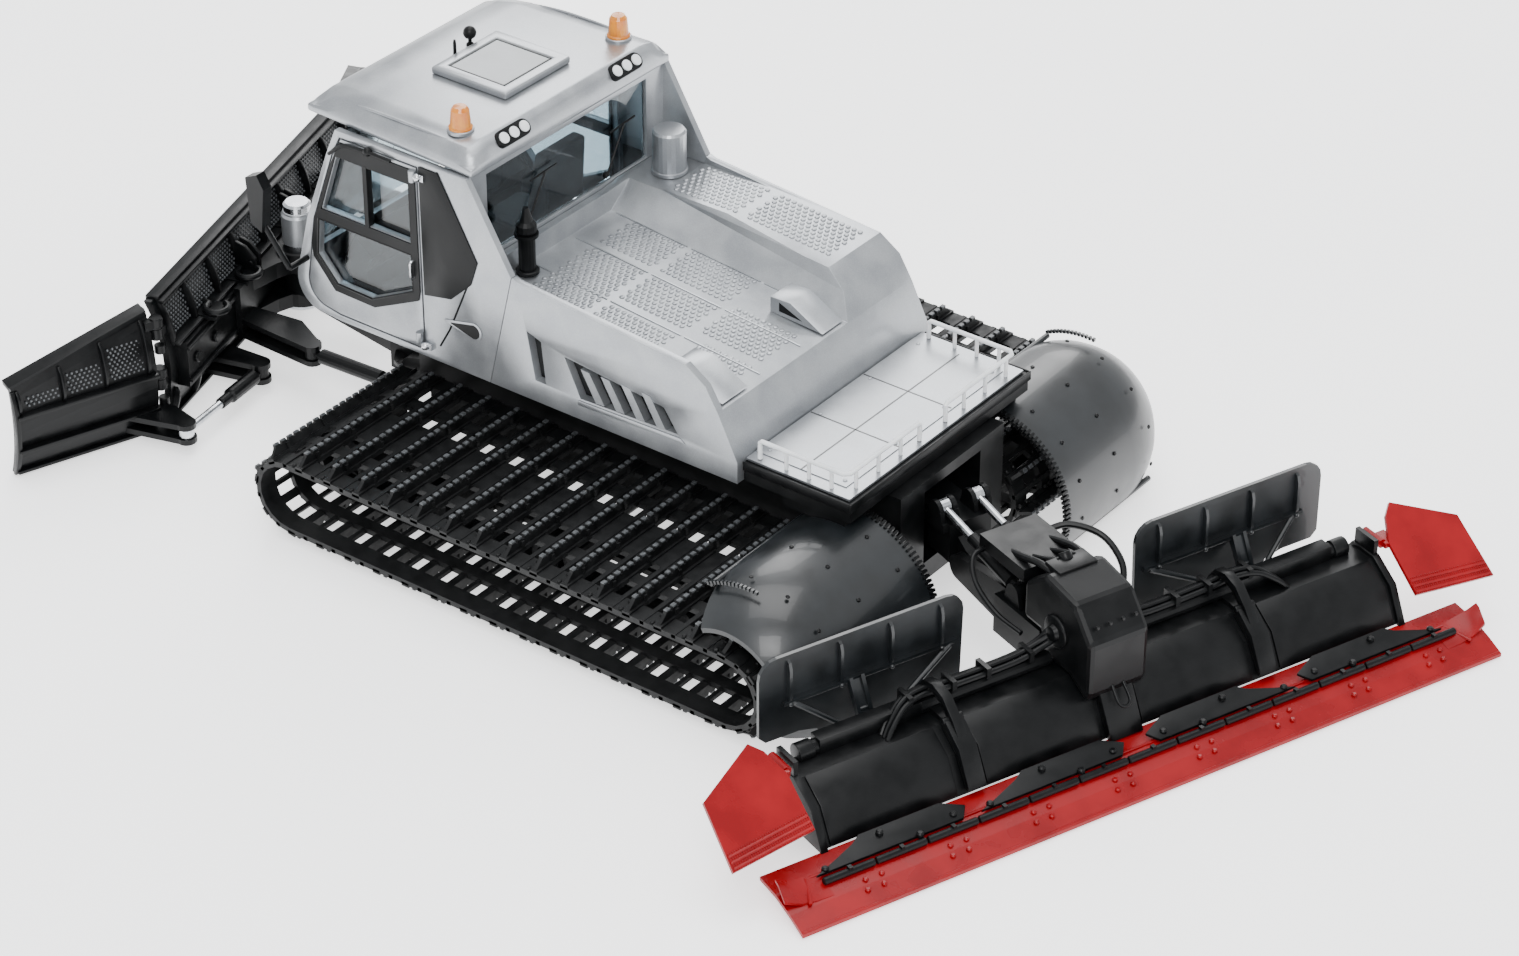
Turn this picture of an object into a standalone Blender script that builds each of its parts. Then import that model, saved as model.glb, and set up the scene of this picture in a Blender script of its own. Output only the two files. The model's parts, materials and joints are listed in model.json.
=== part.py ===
"""Toy snow groomer at 1:16: cab, tracks, front blade and rear tiller.

Frame: +X forward, +Y to the left, +Z up, metres. While it is modelled, x is measured forward
from the rear edge of the load platform, y from the centre line and z from the ground. At the
end the whole model is moved so that the centre of its footprint is at the origin.
The blade and the tiller are modelled straight and then swung about their pivots to the parked pose.
"""

import math

import bmesh
import bpy
from mathutils import Matrix, Vector

# ---------------------------------------------------------------- driving dimensions
GAP = 0.0003  # air between two pieces that touch

# tracks
TRACK_HALF_WIDTH = 0.133  # centre line to the outer edge of a track
TRACK_WIDTH = 0.090
TRACK_REAR_X = 0.008  # centre of the rear sprocket
TRACK_FRONT_X = 0.2355  # centre of the front idler
BELT_RADIUS = 0.017  # outer face of the belt round the sprocket
BELT_THICKNESS = 0.0025
GROUSER_HEIGHT = 0.0055
GROUSER_WIDTH = 0.0026
GROUSER_PITCH = 0.0157
AXLE_RADIUS = 0.003
WHEEL_WIDTH = 0.024
ROAD_WHEEL_RADIUS = 0.0115
ROAD_WHEELS = 3

# chassis and body
CHASSIS_HALF_WIDTH = 0.036
CHASSIS_BOTTOM = 0.014
CHASSIS_TOP = 0.0662
CHASSIS_REAR_X = -0.006
CHASSIS_NOSE_X = 0.246  # lower front face, behind the lift axis
CHASSIS_FRONT_X = 0.262
SLOT_HALF_WIDTH = 0.0195  # room for the tiller's swing in the tail
SLOT_FRONT_X = 0.024
BODY_HALF_WIDTH = 0.066
BODY_WALL = 0.003
PLATFORM_LENGTH = 0.052
PLATFORM_HALF_WIDTH = 0.062
PLATFORM_TOP = 0.0763
PANEL_RISE = 0.0004  # raised middle of the platform's plate
FLOOR_REAR_Z = 0.096  # load bed floor at its rear edge
FLOOR_FRONT_Z = 0.107
BED_REAR_X = 0.062
BIN_TOP_Z = 0.117  # raised bin on the right of the bed
BIN_INNER_Y = -0.034

# cab
CAB_REAR_X = 0.190
DOOR_REAR_X = 0.2155
DOOR_GAP = 0.0008
DOOR_THICKNESS = 0.003
ROOF_TOP = 0.170
ROOF_SEAT = 0.1585  # top edge of the cab's walls
GLASS = 0.0012
WINDOW_BOTTOM = 0.117
WINDOW_HALF_WIDTH = 0.052

# rear fenders
FENDER_RADIUS = BELT_RADIUS + 0.023
FENDER_WALL = 0.002
FENDER_INNER_Y = 0.047
FENDER_OUTER_Y = 0.131

# hydraulic rams: an eye lies between two lug plates
EYE_RADIUS = 0.0034
EYE_HALF = 0.002
LUG = 0.0025  # thickness of a lug plate
LUG_RADIUS = 0.0044
BARREL_RADIUS = 0.0034
GLAND_RADIUS = 0.0025
ROD_RADIUS = 0.0018

# blade
LIFT_AXIS_X = 0.258
LIFT_AXIS_Z = 0.026
LIFT_EYE_RADIUS = 0.0055
FRONT_LUG_Y = 0.026
LIFT_FRAME_LOW = 0.024
LIFT_FRAME_HIGH = 0.034
LIFT_HEAD_RADIUS = 0.0085
KING_PIN_X = 0.3475
KING_PIN_RADIUS = 0.0055
KING_PIN_TOP = 0.066
BLADE_HALF_WIDTH = 0.095
BLADE_HEIGHT = 0.062
BLADE_BOTTOM = 0.0008  # cutting edge above the ground
BLADE_BACK_X = 0.3600  # back face of the beam behind the mouldboard
BLADE_CURVE = 0.075  # radius of the mouldboard's hollow face
PLATE = 0.003
WING_HINGE_Y = BLADE_HALF_WIDTH + 0.0035
WING_LENGTH = 0.066
WING_TIP_DROP = 0.016
WING_LEVER = 0.020  # hinge to the eye of the wing's ram
SWING_RAM_BLADE = (-0.028, 0.050)  # from the king pin
SWING_RAM_FRAME = (0.2525, 0.0365)
SWING_RAM_Z = 0.022
EAR_GAP = 0.0009  # the gland of a closed swing ram passes between the ear's plates
WING_RAM_BLADE = (0.343, 0.054)
WING_RAM_Z = 0.010
BLADE_SWING = math.radians(17.3)
WING_FOLD = {"left": math.radians(34.0), "right": math.radians(16.0)}

# tiller
TILLER_SWING_X = 0.005
TAIL_LUG_LOW = 0.038
TAIL_LUG_HIGH = 0.046
TAIL_PIN_RADIUS = 0.0025
TILLER_LIFT_X = -0.030
TILLER_LIFT_Z = 0.034
TILLER_RAM_Y = 0.008
TILLER_RAM_CARRIER = (-0.016, 0.0545)
TILLER_RAM_ARM = (-0.070, 0.0455)
TILLER_SWING = math.radians(-20.7)
COVER_HALF_WIDTH = 0.139
COVER_WALL = 0.0022
COVER_TOP = 0.031
ROTOR_X = -0.109
ROTOR_Z = 0.0155
ROTOR_RADIUS = 0.0085
SKIRT_HALF_WIDTH = COVER_HALF_WIDTH + 0.027
SKIRT_REAR_X = -0.1585
SKIRT_HINGE_X = -0.1291
SKIRT_HINGE_Z = 0.0090
FLAP_X = -0.078
FLAP_BOTTOM = 0.018
FLAP_TOP = 0.062
FLAP_INNER_Y = 0.041
FLAP_OUTER_Y = 0.134
FINISHER_HINGE_Y = COVER_HALF_WIDTH + 0.0025
FINISHER_HINGE_Z = 0.036

AXLE_Z = BELT_RADIUS + GROUSER_HEIGHT
TRACK_MIDDLE_Y = TRACK_HALF_WIDTH - TRACK_WIDTH / 2
BODY_BOTTOM = CHASSIS_TOP + GAP

# ---------------------------------------------------------------- materials


def plastic(name, colour, roughness, metallic=0.0, alpha=1.0):
    """One Principled material; the colour is linear RGB."""
    material = bpy.data.materials.new(name)
    material.use_nodes = True
    shader = material.node_tree.nodes["Principled BSDF"]
    shader.inputs["Base Color"].default_value = (*colour, 1.0)
    shader.inputs["Roughness"].default_value = roughness
    shader.inputs["Metallic"].default_value = metallic
    shader.inputs["Alpha"].default_value = alpha
    return material


# ---------------------------------------------------------------- modelling tools
place_of = {}  # empty -> its place in the straight model


def pivot(name, place, parent=None, turn=(0.0, 0.0, 0.0)):
    """An empty on a joint's axis. turn is its rotation in the parked pose."""
    empty = bpy.data.objects.new(name, None)
    empty.empty_display_size = 0.01
    bpy.context.scene.collection.objects.link(empty)
    place_of[empty] = Vector(place)
    empty.parent = parent
    empty.location = place_of[empty] - (place_of[parent] if parent else Vector())
    empty.rotation_euler = turn
    return empty


def new_object(name, shape):
    bmesh.ops.recalc_face_normals(shape, faces=shape.faces)
    mesh = bpy.data.meshes.new(name)
    shape.to_mesh(mesh)
    shape.free()
    made = bpy.data.objects.new(name, mesh)
    bpy.context.scene.collection.objects.link(made)
    return made


def prism(name, outline, axis, low, high):
    """A closed outline pushed along X, Y or Z. The outline holds the other two axes, in order."""
    shape = bmesh.new()
    index = "XYZ".index(axis)

    def point(pair, depth):
        place = list(pair)
        place.insert(index, depth)
        return shape.verts.new(place)

    start = [point(pair, low) for pair in outline]
    end = [point(pair, high) for pair in outline]
    shape.faces.new(start)
    shape.faces.new(end)
    for i, corner in enumerate(start):
        j = (i + 1) % len(start)
        shape.faces.new((corner, start[j], end[j], end[i]))
    return new_object(name, shape)


def box(name, low, high):
    outline = [(low[0], low[1]), (high[0], low[1]), (high[0], high[1]), (low[0], high[1])]
    return prism(name, outline, "Z", low[2], high[2])


def turned(name, profile, start, towards, sides=20):
    """A solid of revolution. profile is a list of (distance along the axis, radius), poles at radius 0."""
    shape = bmesh.new()
    start = Vector(start)
    axis = (Vector(towards) - start).normalized()
    frame = axis.to_track_quat("Z", "X").to_matrix()
    rings = []
    for along, radius in profile:
        if radius == 0.0:
            rings.append([shape.verts.new(start + axis * along)])
            continue
        ring = []
        for i in range(sides):
            angle = 2 * math.pi * i / sides
            spoke = Vector((math.cos(angle), math.sin(angle), 0.0)) * radius
            ring.append(shape.verts.new(start + axis * along + frame @ spoke))
        rings.append(ring)
    for near, far in zip(rings, rings[1:] + rings[:1]):
        if len(near) == 1 and len(far) == 1:
            continue
        for i in range(sides):
            j = (i + 1) % sides
            loop = [near[i % len(near)], near[j % len(near)], far[j % len(far)], far[i % len(far)]]
            shape.faces.new(list(dict.fromkeys(loop)))
    made = new_object(name, shape)
    made.data.shade_smooth()
    made.data.set_sharp_from_angle(angle=math.radians(35))
    return made


def cylinder(name, start, end, radius, sides=20):
    length = (Vector(end) - Vector(start)).length
    return turned(name, [(0.0, 0.0), (0.0, radius), (length, radius), (length, 0.0)], start, end, sides)


def tube(name, points, radius):
    """A round bar through the points, as a bevelled curve made into a mesh."""
    curve = bpy.data.curves.new(name, "CURVE")
    curve.dimensions = "3D"
    curve.bevel_depth = radius
    curve.bevel_resolution = 2
    curve.use_fill_caps = True
    spline = curve.splines.new("POLY")
    spline.points.add(len(points) - 1)
    for knot, place in zip(spline.points, points):
        knot.co = (*place, 1.0)
    made = bpy.data.objects.new(name, curve)
    bpy.context.scene.collection.objects.link(made)
    return made


def slab(name, outer, inner):
    """A curved wall between two grids of points that have the same rows and columns."""
    shape = bmesh.new()
    rows = len(outer)
    columns = len(outer[0])
    near = [[shape.verts.new(point) for point in row] for row in outer]
    far = [[shape.verts.new(point) for point in row] for row in inner]
    for grid in (near, far):
        for r in range(rows - 1):
            for c in range(columns - 1):
                shape.faces.new((grid[r][c], grid[r][c + 1], grid[r + 1][c + 1], grid[r + 1][c]))
    rim = [(0, c) for c in range(columns)] + [(r, columns - 1) for r in range(1, rows)]
    rim += [(rows - 1, c) for c in range(columns - 2, -1, -1)] + [(r, 0) for r in range(rows - 2, 0, -1)]
    for (r0, c0), (r1, c1) in zip(rim, rim[1:] + rim[:1]):
        shape.faces.new((near[r0][c0], near[r1][c1], far[r1][c1], far[r0][c0]))
    return new_object(name, shape)


def loft(name, rings):
    """Closed rings of equal length joined one to the next, with flat ends."""
    shape = bmesh.new()
    loops = [[shape.verts.new(point) for point in ring] for ring in rings]
    for near, far in zip(loops, loops[1:]):
        for i, corner in enumerate(near):
            j = (i + 1) % len(near)
            shape.faces.new((corner, near[j], far[j], far[i]))
    shape.faces.new(loops[0])
    shape.faces.new(loops[-1])
    return new_object(name, shape)


def boolean(target, operation, tools):
    for tool in tools:
        modifier = target.modifiers.new(operation.lower(), "BOOLEAN")
        modifier.operation = operation
        modifier.object = tool
        modifier.solver = "EXACT"
        tool.hide_render = True
        tool.display_type = "WIRE"
        tool["cutter_of"] = target.name
    return target


def cut(target, *tools):
    return boolean(target, "DIFFERENCE", tools)


def fuse(target, *tools):
    return boolean(target, "UNION", tools)


def settle(made, material, parent):
    """Gives a finished piece its material and hangs it, with its cutters, on its empty."""
    made.data.materials.append(material)
    helpers = [other for other in bpy.data.objects if other.get("cutter_of") == made.name]
    for piece in (made, *helpers):
        piece.parent = parent
        piece.location = -place_of[parent]
    return made


def bevel(made, width, segments=2):
    modifier = made.modifiers.new("rounded edges", "BEVEL")
    modifier.width = width
    modifier.segments = segments
    modifier.limit_method = "ANGLE"
    modifier.angle_limit = math.radians(40)
    return made


def arc(centre, radius, first, last, steps):
    """Points on an arc, angles in degrees."""
    points = []
    for i in range(steps + 1):
        angle = math.radians(first + (last - first) * i / steps)
        points.append((centre[0] + radius * math.cos(angle), centre[1] + radius * math.sin(angle)))
    return points


def mirrored(points):
    return [(x, -y, *rest) for x, y, *rest in points]


def turned_about(point, centre, angle):
    """A point of the straight model, carried round a vertical axis."""
    return Matrix.Rotation(angle, 3, "Z") @ (Vector(point) - Vector(centre)) + Vector(centre)


SIDES = {"left": 1, "right": -1}


def span(side, near, far):
    """Two y values of a left-hand piece, in rising order for either side."""
    return sorted((SIDES[side] * near, SIDES[side] * far))


# ---------------------------------------------------------------- tracks and wheels


def on_loop(distance, height):
    """A point of the track loop: distance along the belt's outer face, height above that face."""
    run = TRACK_FRONT_X - TRACK_REAR_X
    bend = math.pi * BELT_RADIUS
    distance %= 2 * (run + bend)
    radius = BELT_RADIUS + height
    if distance < run:
        return (TRACK_REAR_X + distance, AXLE_Z - radius)
    distance -= run
    if distance < bend:
        angle = distance / BELT_RADIUS - math.pi / 2
        return (TRACK_FRONT_X + radius * math.cos(angle), AXLE_Z + radius * math.sin(angle))
    distance -= bend
    if distance < run:
        return (TRACK_FRONT_X - distance, AXLE_Z + radius)
    angle = (distance - run) / BELT_RADIUS + math.pi / 2
    return (TRACK_REAR_X + radius * math.cos(angle), AXLE_Z + radius * math.sin(angle))


def track_outline():
    """The belt with its grousers, as one closed outline."""
    length = 2 * (TRACK_FRONT_X - TRACK_REAR_X + math.pi * BELT_RADIUS)
    count = round(length / GROUSER_PITCH)
    pitch = length / count
    between = 3
    outline = []
    for i in range(count):
        start = i * pitch
        outline.append(on_loop(start, 0.0))
        outline.append(on_loop(start + 0.15 * GROUSER_WIDTH, GROUSER_HEIGHT))
        outline.append(on_loop(start + 0.85 * GROUSER_WIDTH, GROUSER_HEIGHT))
        outline.append(on_loop(start + GROUSER_WIDTH, 0.0))
        for k in range(1, between):
            outline.append(on_loop(start + GROUSER_WIDTH + (pitch - GROUSER_WIDTH) * k / between, 0.0))
    return outline


def track(side, material, parent):
    low, high = span(side, TRACK_HALF_WIDTH - TRACK_WIDTH, TRACK_HALF_WIDTH)
    belt = prism("track_" + side, track_outline(), "Y", low, high)
    inside = arc((TRACK_REAR_X, AXLE_Z), BELT_RADIUS - BELT_THICKNESS, 90, 270, 12)
    inside += arc((TRACK_FRONT_X, AXLE_Z), BELT_RADIUS - BELT_THICKNESS, -90, 90, 12)
    hollow = prism("track_inside_" + side, inside, "Y", low - 0.01, high + 0.01)
    return settle(cut(belt, hollow), material, parent)


def axle(name, x, z, radius, material, parent):
    """An axle right across the hull, with a dished wheel near each end."""
    middle = TRACK_MIDDLE_Y
    half = WHEEL_WIDTH / 2
    rim = radius - 0.002
    dish = 0.006
    one_end = [
        (middle - half, AXLE_RADIUS),
        (middle - half, rim),
        (middle - half + 0.002, radius),
        (middle + half - 0.002, radius),
        (middle + half, rim),
        (middle + half, rim - 0.002),
        (middle + half - dish, rim - 0.004),
        (middle + half - dish, AXLE_RADIUS + 0.002),
        (middle + half, AXLE_RADIUS + 0.001),
        (middle + half, 0.0),
    ]
    profile = [(-along, size) for along, size in reversed(one_end)] + one_end
    made = turned(name, profile, (x, 0, z), (x, 1, z), 18)
    return settle(made, material, parent)


def road_wheel_places():
    """x of each road axle, spaced evenly between sprocket and idler."""
    first = TRACK_REAR_X + 0.045
    last = TRACK_FRONT_X - 0.045
    return [first + (last - first) * i / (ROAD_WHEELS - 1) for i in range(ROAD_WHEELS)]


def axle_places():
    """(name, x, z, wheel radius) of every axle."""
    end_radius = BELT_RADIUS - BELT_THICKNESS - GAP
    road_z = AXLE_Z - BELT_RADIUS + BELT_THICKNESS + GAP + ROAD_WHEEL_RADIUS
    places = [("rear_sprocket_axle", TRACK_REAR_X, AXLE_Z, end_radius)]
    for i, x in enumerate(road_wheel_places()):
        places.append((f"road_wheel_axle_{i + 1}", x, road_z, ROAD_WHEEL_RADIUS))
    places.append(("front_idler_axle", TRACK_FRONT_X, AXLE_Z, end_radius))
    return places


# ---------------------------------------------------------------- chassis


def front_lug(side):
    """A plate under the nose that carries one end of the lift axis, with its pin."""
    low, high = span(side, FRONT_LUG_Y - LUG, FRONT_LUG_Y + LUG)
    ear = [(CHASSIS_NOSE_X - 0.004, LIFT_AXIS_Z - 0.008)]
    ear += arc((LIFT_AXIS_X, LIFT_AXIS_Z), LIFT_EYE_RADIUS, -60, 90, 6)
    ear += [(CHASSIS_NOSE_X - 0.004, LIFT_AXIS_Z + 0.010)]
    plate = prism("front_lug_" + side, ear, "Y", low, high)
    inner = SIDES[side] * (FRONT_LUG_Y - LUG - 0.008)
    outer = SIDES[side] * (FRONT_LUG_Y + LUG)
    start = (LIFT_AXIS_X, inner, LIFT_AXIS_Z)
    pin = cylinder("lift_pin_" + side, start, (LIFT_AXIS_X, outer, LIFT_AXIS_Z), 0.0022, 12)
    return plate, pin


def chassis(material, parent):
    step = CHASSIS_TOP - 0.020
    outline = [
        (CHASSIS_REAR_X, CHASSIS_BOTTOM + 0.004),
        (CHASSIS_REAR_X + 0.01, CHASSIS_BOTTOM),
        (CHASSIS_NOSE_X - 0.012, CHASSIS_BOTTOM),
        (CHASSIS_NOSE_X, CHASSIS_BOTTOM + 0.004),
        (CHASSIS_NOSE_X, step),
        (CHASSIS_FRONT_X, step + 0.006),
        (CHASSIS_FRONT_X, CHASSIS_TOP),
        (CHASSIS_REAR_X, CHASSIS_TOP),
    ]
    hull = prism("chassis", outline, "Y", -CHASSIS_HALF_WIDTH, CHASSIS_HALF_WIDTH)
    slot = box(
        "tail_slot",
        (CHASSIS_REAR_X - 0.01, -SLOT_HALF_WIDTH, AXLE_Z + AXLE_RADIUS + 0.0015),
        (SLOT_FRONT_X, SLOT_HALF_WIDTH, CHASSIS_TOP - 0.005),
    )
    cut(hull, slot)
    tail = [(SLOT_FRONT_X + 0.004, -0.008)]
    tail += arc((TILLER_SWING_X, 0.0), 0.008, -90, -270, 10)
    tail += [(SLOT_FRONT_X + 0.004, 0.008)]
    lug = prism("tail_lug", tail, "Z", TAIL_LUG_LOW, TAIL_LUG_HIGH)
    fuse(hull, lug, *front_lug("left"), *front_lug("right"))
    holes = []
    for name, x, z, _ in axle_places():
        reach = CHASSIS_HALF_WIDTH + 0.01
        holes.append(cylinder(name + "_hole", (x, -reach, z), (x, reach, z), AXLE_RADIUS + GAP, 18))
    pin_top = (TILLER_SWING_X, 0.0, TAIL_LUG_HIGH + 0.002)
    pin_low = (TILLER_SWING_X, 0.0, TAIL_LUG_LOW - 0.002)
    holes.append(cylinder("tail_pin_hole", pin_low, pin_top, TAIL_PIN_RADIUS + GAP, 16))
    for side in SIDES:
        low, high = span(side, FRONT_LUG_Y + LUG + 0.0002, CHASSIS_HALF_WIDTH + 0.001)
        corner = (CHASSIS_NOSE_X - 0.0055, low, CHASSIS_BOTTOM - 0.001)
        holes.append(box("ram_relief_" + side, corner, (CHASSIS_NOSE_X + 0.0015, high, 0.033)))
    cut(hull, *holes)
    return settle(hull, material, parent)


# ---------------------------------------------------------------- cab


def cab_outline(inset):
    """Side outline of the cab, (x, z), drawn in by inset."""
    bottom = BODY_BOTTOM + inset
    nose = arc((0.272, 0.0805), 0.0135 - inset, -75, 10, 6)
    return [
        (CAB_REAR_X + inset, bottom),
        (0.262, bottom),
        *nose,
        (0.2775 - inset, 0.112),
        (0.2645 - inset, 0.146),
        (0.2590 - inset, ROOF_SEAT + (0.02 if inset else 0.0)),
        (CAB_REAR_X + inset, ROOF_SEAT + (0.02 if inset else 0.0)),
    ]


DOOR_BOTTOM = BODY_BOTTOM + 0.0035
DOOR_TOP = ROOF_SEAT - 0.0035


def door_outline(margin):
    """Side outline of a door, (x, z), grown by margin."""
    front = arc((0.268, 0.0815), 0.0105 + margin, -70, 5, 5)
    return [
        (DOOR_REAR_X - margin, DOOR_BOTTOM - margin),
        (0.262, DOOR_BOTTOM - margin),
        *front,
        (0.2735 + margin, 0.112),
        (0.2610 + margin, 0.146),
        (0.2560 + margin, DOOR_TOP + margin),
        (DOOR_REAR_X - margin, DOOR_TOP + margin),
    ]


def upper_pane():
    return [(0.2200, 0.1190), (0.2685, 0.1190), (0.2590, 0.1460), (0.2200, 0.1460)]


def lower_pane():
    sill = [(0.2200, 0.0960), (0.2430, 0.0845), (0.2620, 0.0850), (0.2720, 0.0960)]
    return [*sill, (0.2705, 0.1130), (0.2200, 0.1130)]


def cab_shell(material, parent):
    """Hollow cab, open on top, with fins that run back beside the load bed."""
    half = BODY_HALF_WIDTH
    shell = prism("cab_shell", cab_outline(0.0), "Y", -half, half)
    fin = [
        (CAB_REAR_X + 0.001, BODY_BOTTOM),
        (SEAM_BOTTOM_X, BODY_BOTTOM),
        (SEAM_TOP_X, SEAM_TOP_Z),
        (CAB_REAR_X - 0.001, ROOF_SEAT),
        (CAB_REAR_X + 0.001, ROOF_SEAT),
    ]
    fins = []
    for side in SIDES:
        low, high = span(side, half - BODY_WALL, half)
        fins.append(prism("cab_fin_" + side, fin, "Y", low, high))
    fuse(shell, *fins)
    inside = prism("cab_inside", cab_outline(BODY_WALL), "Y", -half + BODY_WALL, half - BODY_WALL)
    doorway = prism("doorway", door_outline(DOOR_GAP), "Y", -half - 0.01, half + 0.01)
    windscreen = loft(
        "windscreen_hole",
        [
            [(0.250, -WINDSCREEN_HALF, 0.0930), (0.250, WINDSCREEN_HALF, 0.0930)]
            + [(0.320, WINDSCREEN_HALF, 0.0930), (0.320, -WINDSCREEN_HALF, 0.0930)],
            [(0.250, -WINDSCREEN_HALF, ROOF_SEAT + 0.01), (0.250, WINDSCREEN_HALF, ROOF_SEAT + 0.01)]
            + [(0.320, WINDSCREEN_HALF, ROOF_SEAT + 0.01), (0.320, -WINDSCREEN_HALF, ROOF_SEAT + 0.01)],
        ],
    )
    rear = box(
        "rear_window_hole",
        (CAB_REAR_X - 0.01, -WINDOW_HALF_WIDTH, WINDOW_BOTTOM),
        (CAB_REAR_X + 0.01, WINDOW_HALF_WIDTH, ROOF_SEAT - 0.004),
    )
    cut(shell, inside, doorway, windscreen, rear)
    return settle(shell, material, parent)


SEAM_BOTTOM_X = 0.1800
SEAM_TOP_X = 0.1668
SEAM_TOP_Z = 0.1205
WINDSCREEN_HALF = 0.0605


def rear_window(material, parent):
    low = (CAB_REAR_X + BODY_WALL / 2, -WINDOW_HALF_WIDTH + GAP, WINDOW_BOTTOM + GAP)
    high = (CAB_REAR_X + BODY_WALL / 2 + GLASS, WINDOW_HALF_WIDTH - GAP, ROOF_SEAT - 0.004 - GAP)
    return settle(box("rear_window", low, high), material, parent)


def windscreen(material, parent):
    """One curved pane between the front pillars."""
    levels = [(0.2855, 0.0935), (0.2775, 0.112), (0.2645, 0.146), (0.2596, ROOF_SEAT - GAP)]
    half = WINDSCREEN_HALF - GAP
    outer = []
    inner = []
    for x, z in levels:
        row = []
        for i in range(9):
            y = -half + 2 * half * i / 8
            row.append(Vector((x + 0.004 * (1 - (y / half) ** 2) - 0.002, y, z)))
        outer.append(row)
        inner.append([point - Vector((GLASS, 0, 0)) for point in row])
    return settle(slab("windscreen", outer, inner), material, parent)


def cab_roof(material, parent):
    """A flat-topped shell with rounded edges that sits on the cab's walls."""
    half = BODY_HALF_WIDTH - 0.0015
    rear = CAB_REAR_X - 0.003
    front = 0.2790
    rows = [0.0, 0.02, 0.06, 0.15, 0.5, 0.75, 0.88, 0.96, 1.0]
    columns = [-1.0, -0.97, -0.92, -0.80, -0.4, 0.0, 0.4, 0.80, 0.92, 0.97, 1.0]
    rim = 0.0035
    height = ROOF_TOP - ROOF_SEAT - GAP

    def rise(u, v):
        side = max(0.0, (abs(v) - 0.80) / 0.20)
        end = max(0.0, (u - 0.75) / 0.25, (0.06 - u) / 0.06)
        return rim + (height - rim) * math.sqrt(max(0.0, 1 - min(1.0, side**2 + end**2)))

    outer = []
    inner = []
    for u in rows:
        x = rear + (front - rear) * u
        narrow = half - 0.004 * u
        outer.append([Vector((x, narrow * v, ROOF_SEAT + GAP + rise(u, v))) for v in columns])
        under = []
        for v in columns:
            edge = abs(v) > 0.93 or u < 0.03 or u > 0.90
            lift = 0.0 if edge else max(0.0, rise(u, v) - BODY_WALL)
            under.append(Vector((x, narrow * v, ROOF_SEAT + GAP + lift)))
        inner.append(under)
    return settle(slab("cab_roof", outer, inner), material, parent)


def roof_hatch(material, parent):
    """Raised frame with a dark pane, on the flat of the roof."""
    z = ROOF_TOP + GAP
    hatch = box("roof_hatch", (0.207, -0.019, z), (0.243, 0.019, z + 0.0025))
    return settle(bevel(hatch, 0.0012), material, parent)


def door(side, material, parent):
    low, high = span(side, BODY_HALF_WIDTH - DOOR_THICKNESS, BODY_HALF_WIDTH)
    leaf = prism("door_" + side, door_outline(0.0), "Y", low, high)
    holes = []
    for name, pane in (("upper", upper_pane()), ("lower", lower_pane())):
        holes.append(prism(f"{name}_pane_hole_{side}", pane, "Y", low - 0.01, high + 0.01))
    cut(leaf, *holes)
    near, far = span(side, BODY_HALF_WIDTH, BODY_HALF_WIDTH + 0.0022)
    knuckles = []
    for z in (DOOR_BOTTOM + 0.003, DOOR_TOP - 0.006):
        low_point = (DOOR_REAR_X + 0.0012, (near + far) / 2, z)
        knuckles.append(cylinder(f"hinge_{side}_{z:.3f}", low_point, (*low_point[:2], z + 0.005), 0.0016, 10))
    fuse(leaf, *knuckles)
    return settle(leaf, material, parent)


def door_glass(side, material, parent):
    """Both panes of a door in one sheet behind its frame."""
    inside = BODY_HALF_WIDTH - DOOR_THICKNESS - GAP
    low, high = span(side, inside - GLASS, inside)
    sheet = [(0.2180, 0.0825), (0.2640, 0.0825), (0.2745, 0.0960), (0.2725, 0.1160)]
    sheet += [(0.2590, 0.1480), (0.2180, 0.1480)]
    return settle(prism("door_glass_" + side, sheet, "Y", low, high), material, parent)


def seat(material, parent):
    """Driver's seat: cushion, back and headrest in one moulding on the cab floor."""
    floor = BODY_BOTTOM + BODY_WALL + GAP
    outline = [
        (0.2150, floor),
        (0.2400, floor),
        (0.2400, floor + 0.008),
        (0.2470, floor + 0.014),
        (0.2470, floor + 0.021),
        (0.2240, floor + 0.020),
        (0.2160, floor + 0.060),
        (0.2090, floor + 0.060),
        (0.2120, floor + 0.016),
    ]
    made = prism("driver_seat", outline, "Y", -0.034, -0.008)
    return settle(bevel(made, 0.0015), material, parent)


def dashboard(material, parent):
    floor = BODY_BOTTOM + BODY_WALL + GAP
    outline = [
        (0.2600, floor),
        (0.2645, floor),
        (0.2730, floor + 0.016),
        (0.2660, floor + 0.030),
        (0.2560, floor + 0.022),
        (0.2600, floor + 0.014),
    ]
    return settle(prism("dashboard", outline, "Y", -0.050, 0.050), material, parent)


def beacon(side, material, parent):
    z = ROOF_TOP + GAP
    profile = [(0.0, 0.0), (0.0, 0.0050), (0.0015, 0.0050), (0.0020, 0.0044), (0.0090, 0.0038)]
    profile += [(0.0105, 0.0028), (0.0108, 0.0)]
    start = (0.2035, SIDES[side] * 0.051, z)
    return settle(turned("beacon_" + side, profile, start, (*start[:2], 1), 18), material, parent)


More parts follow.
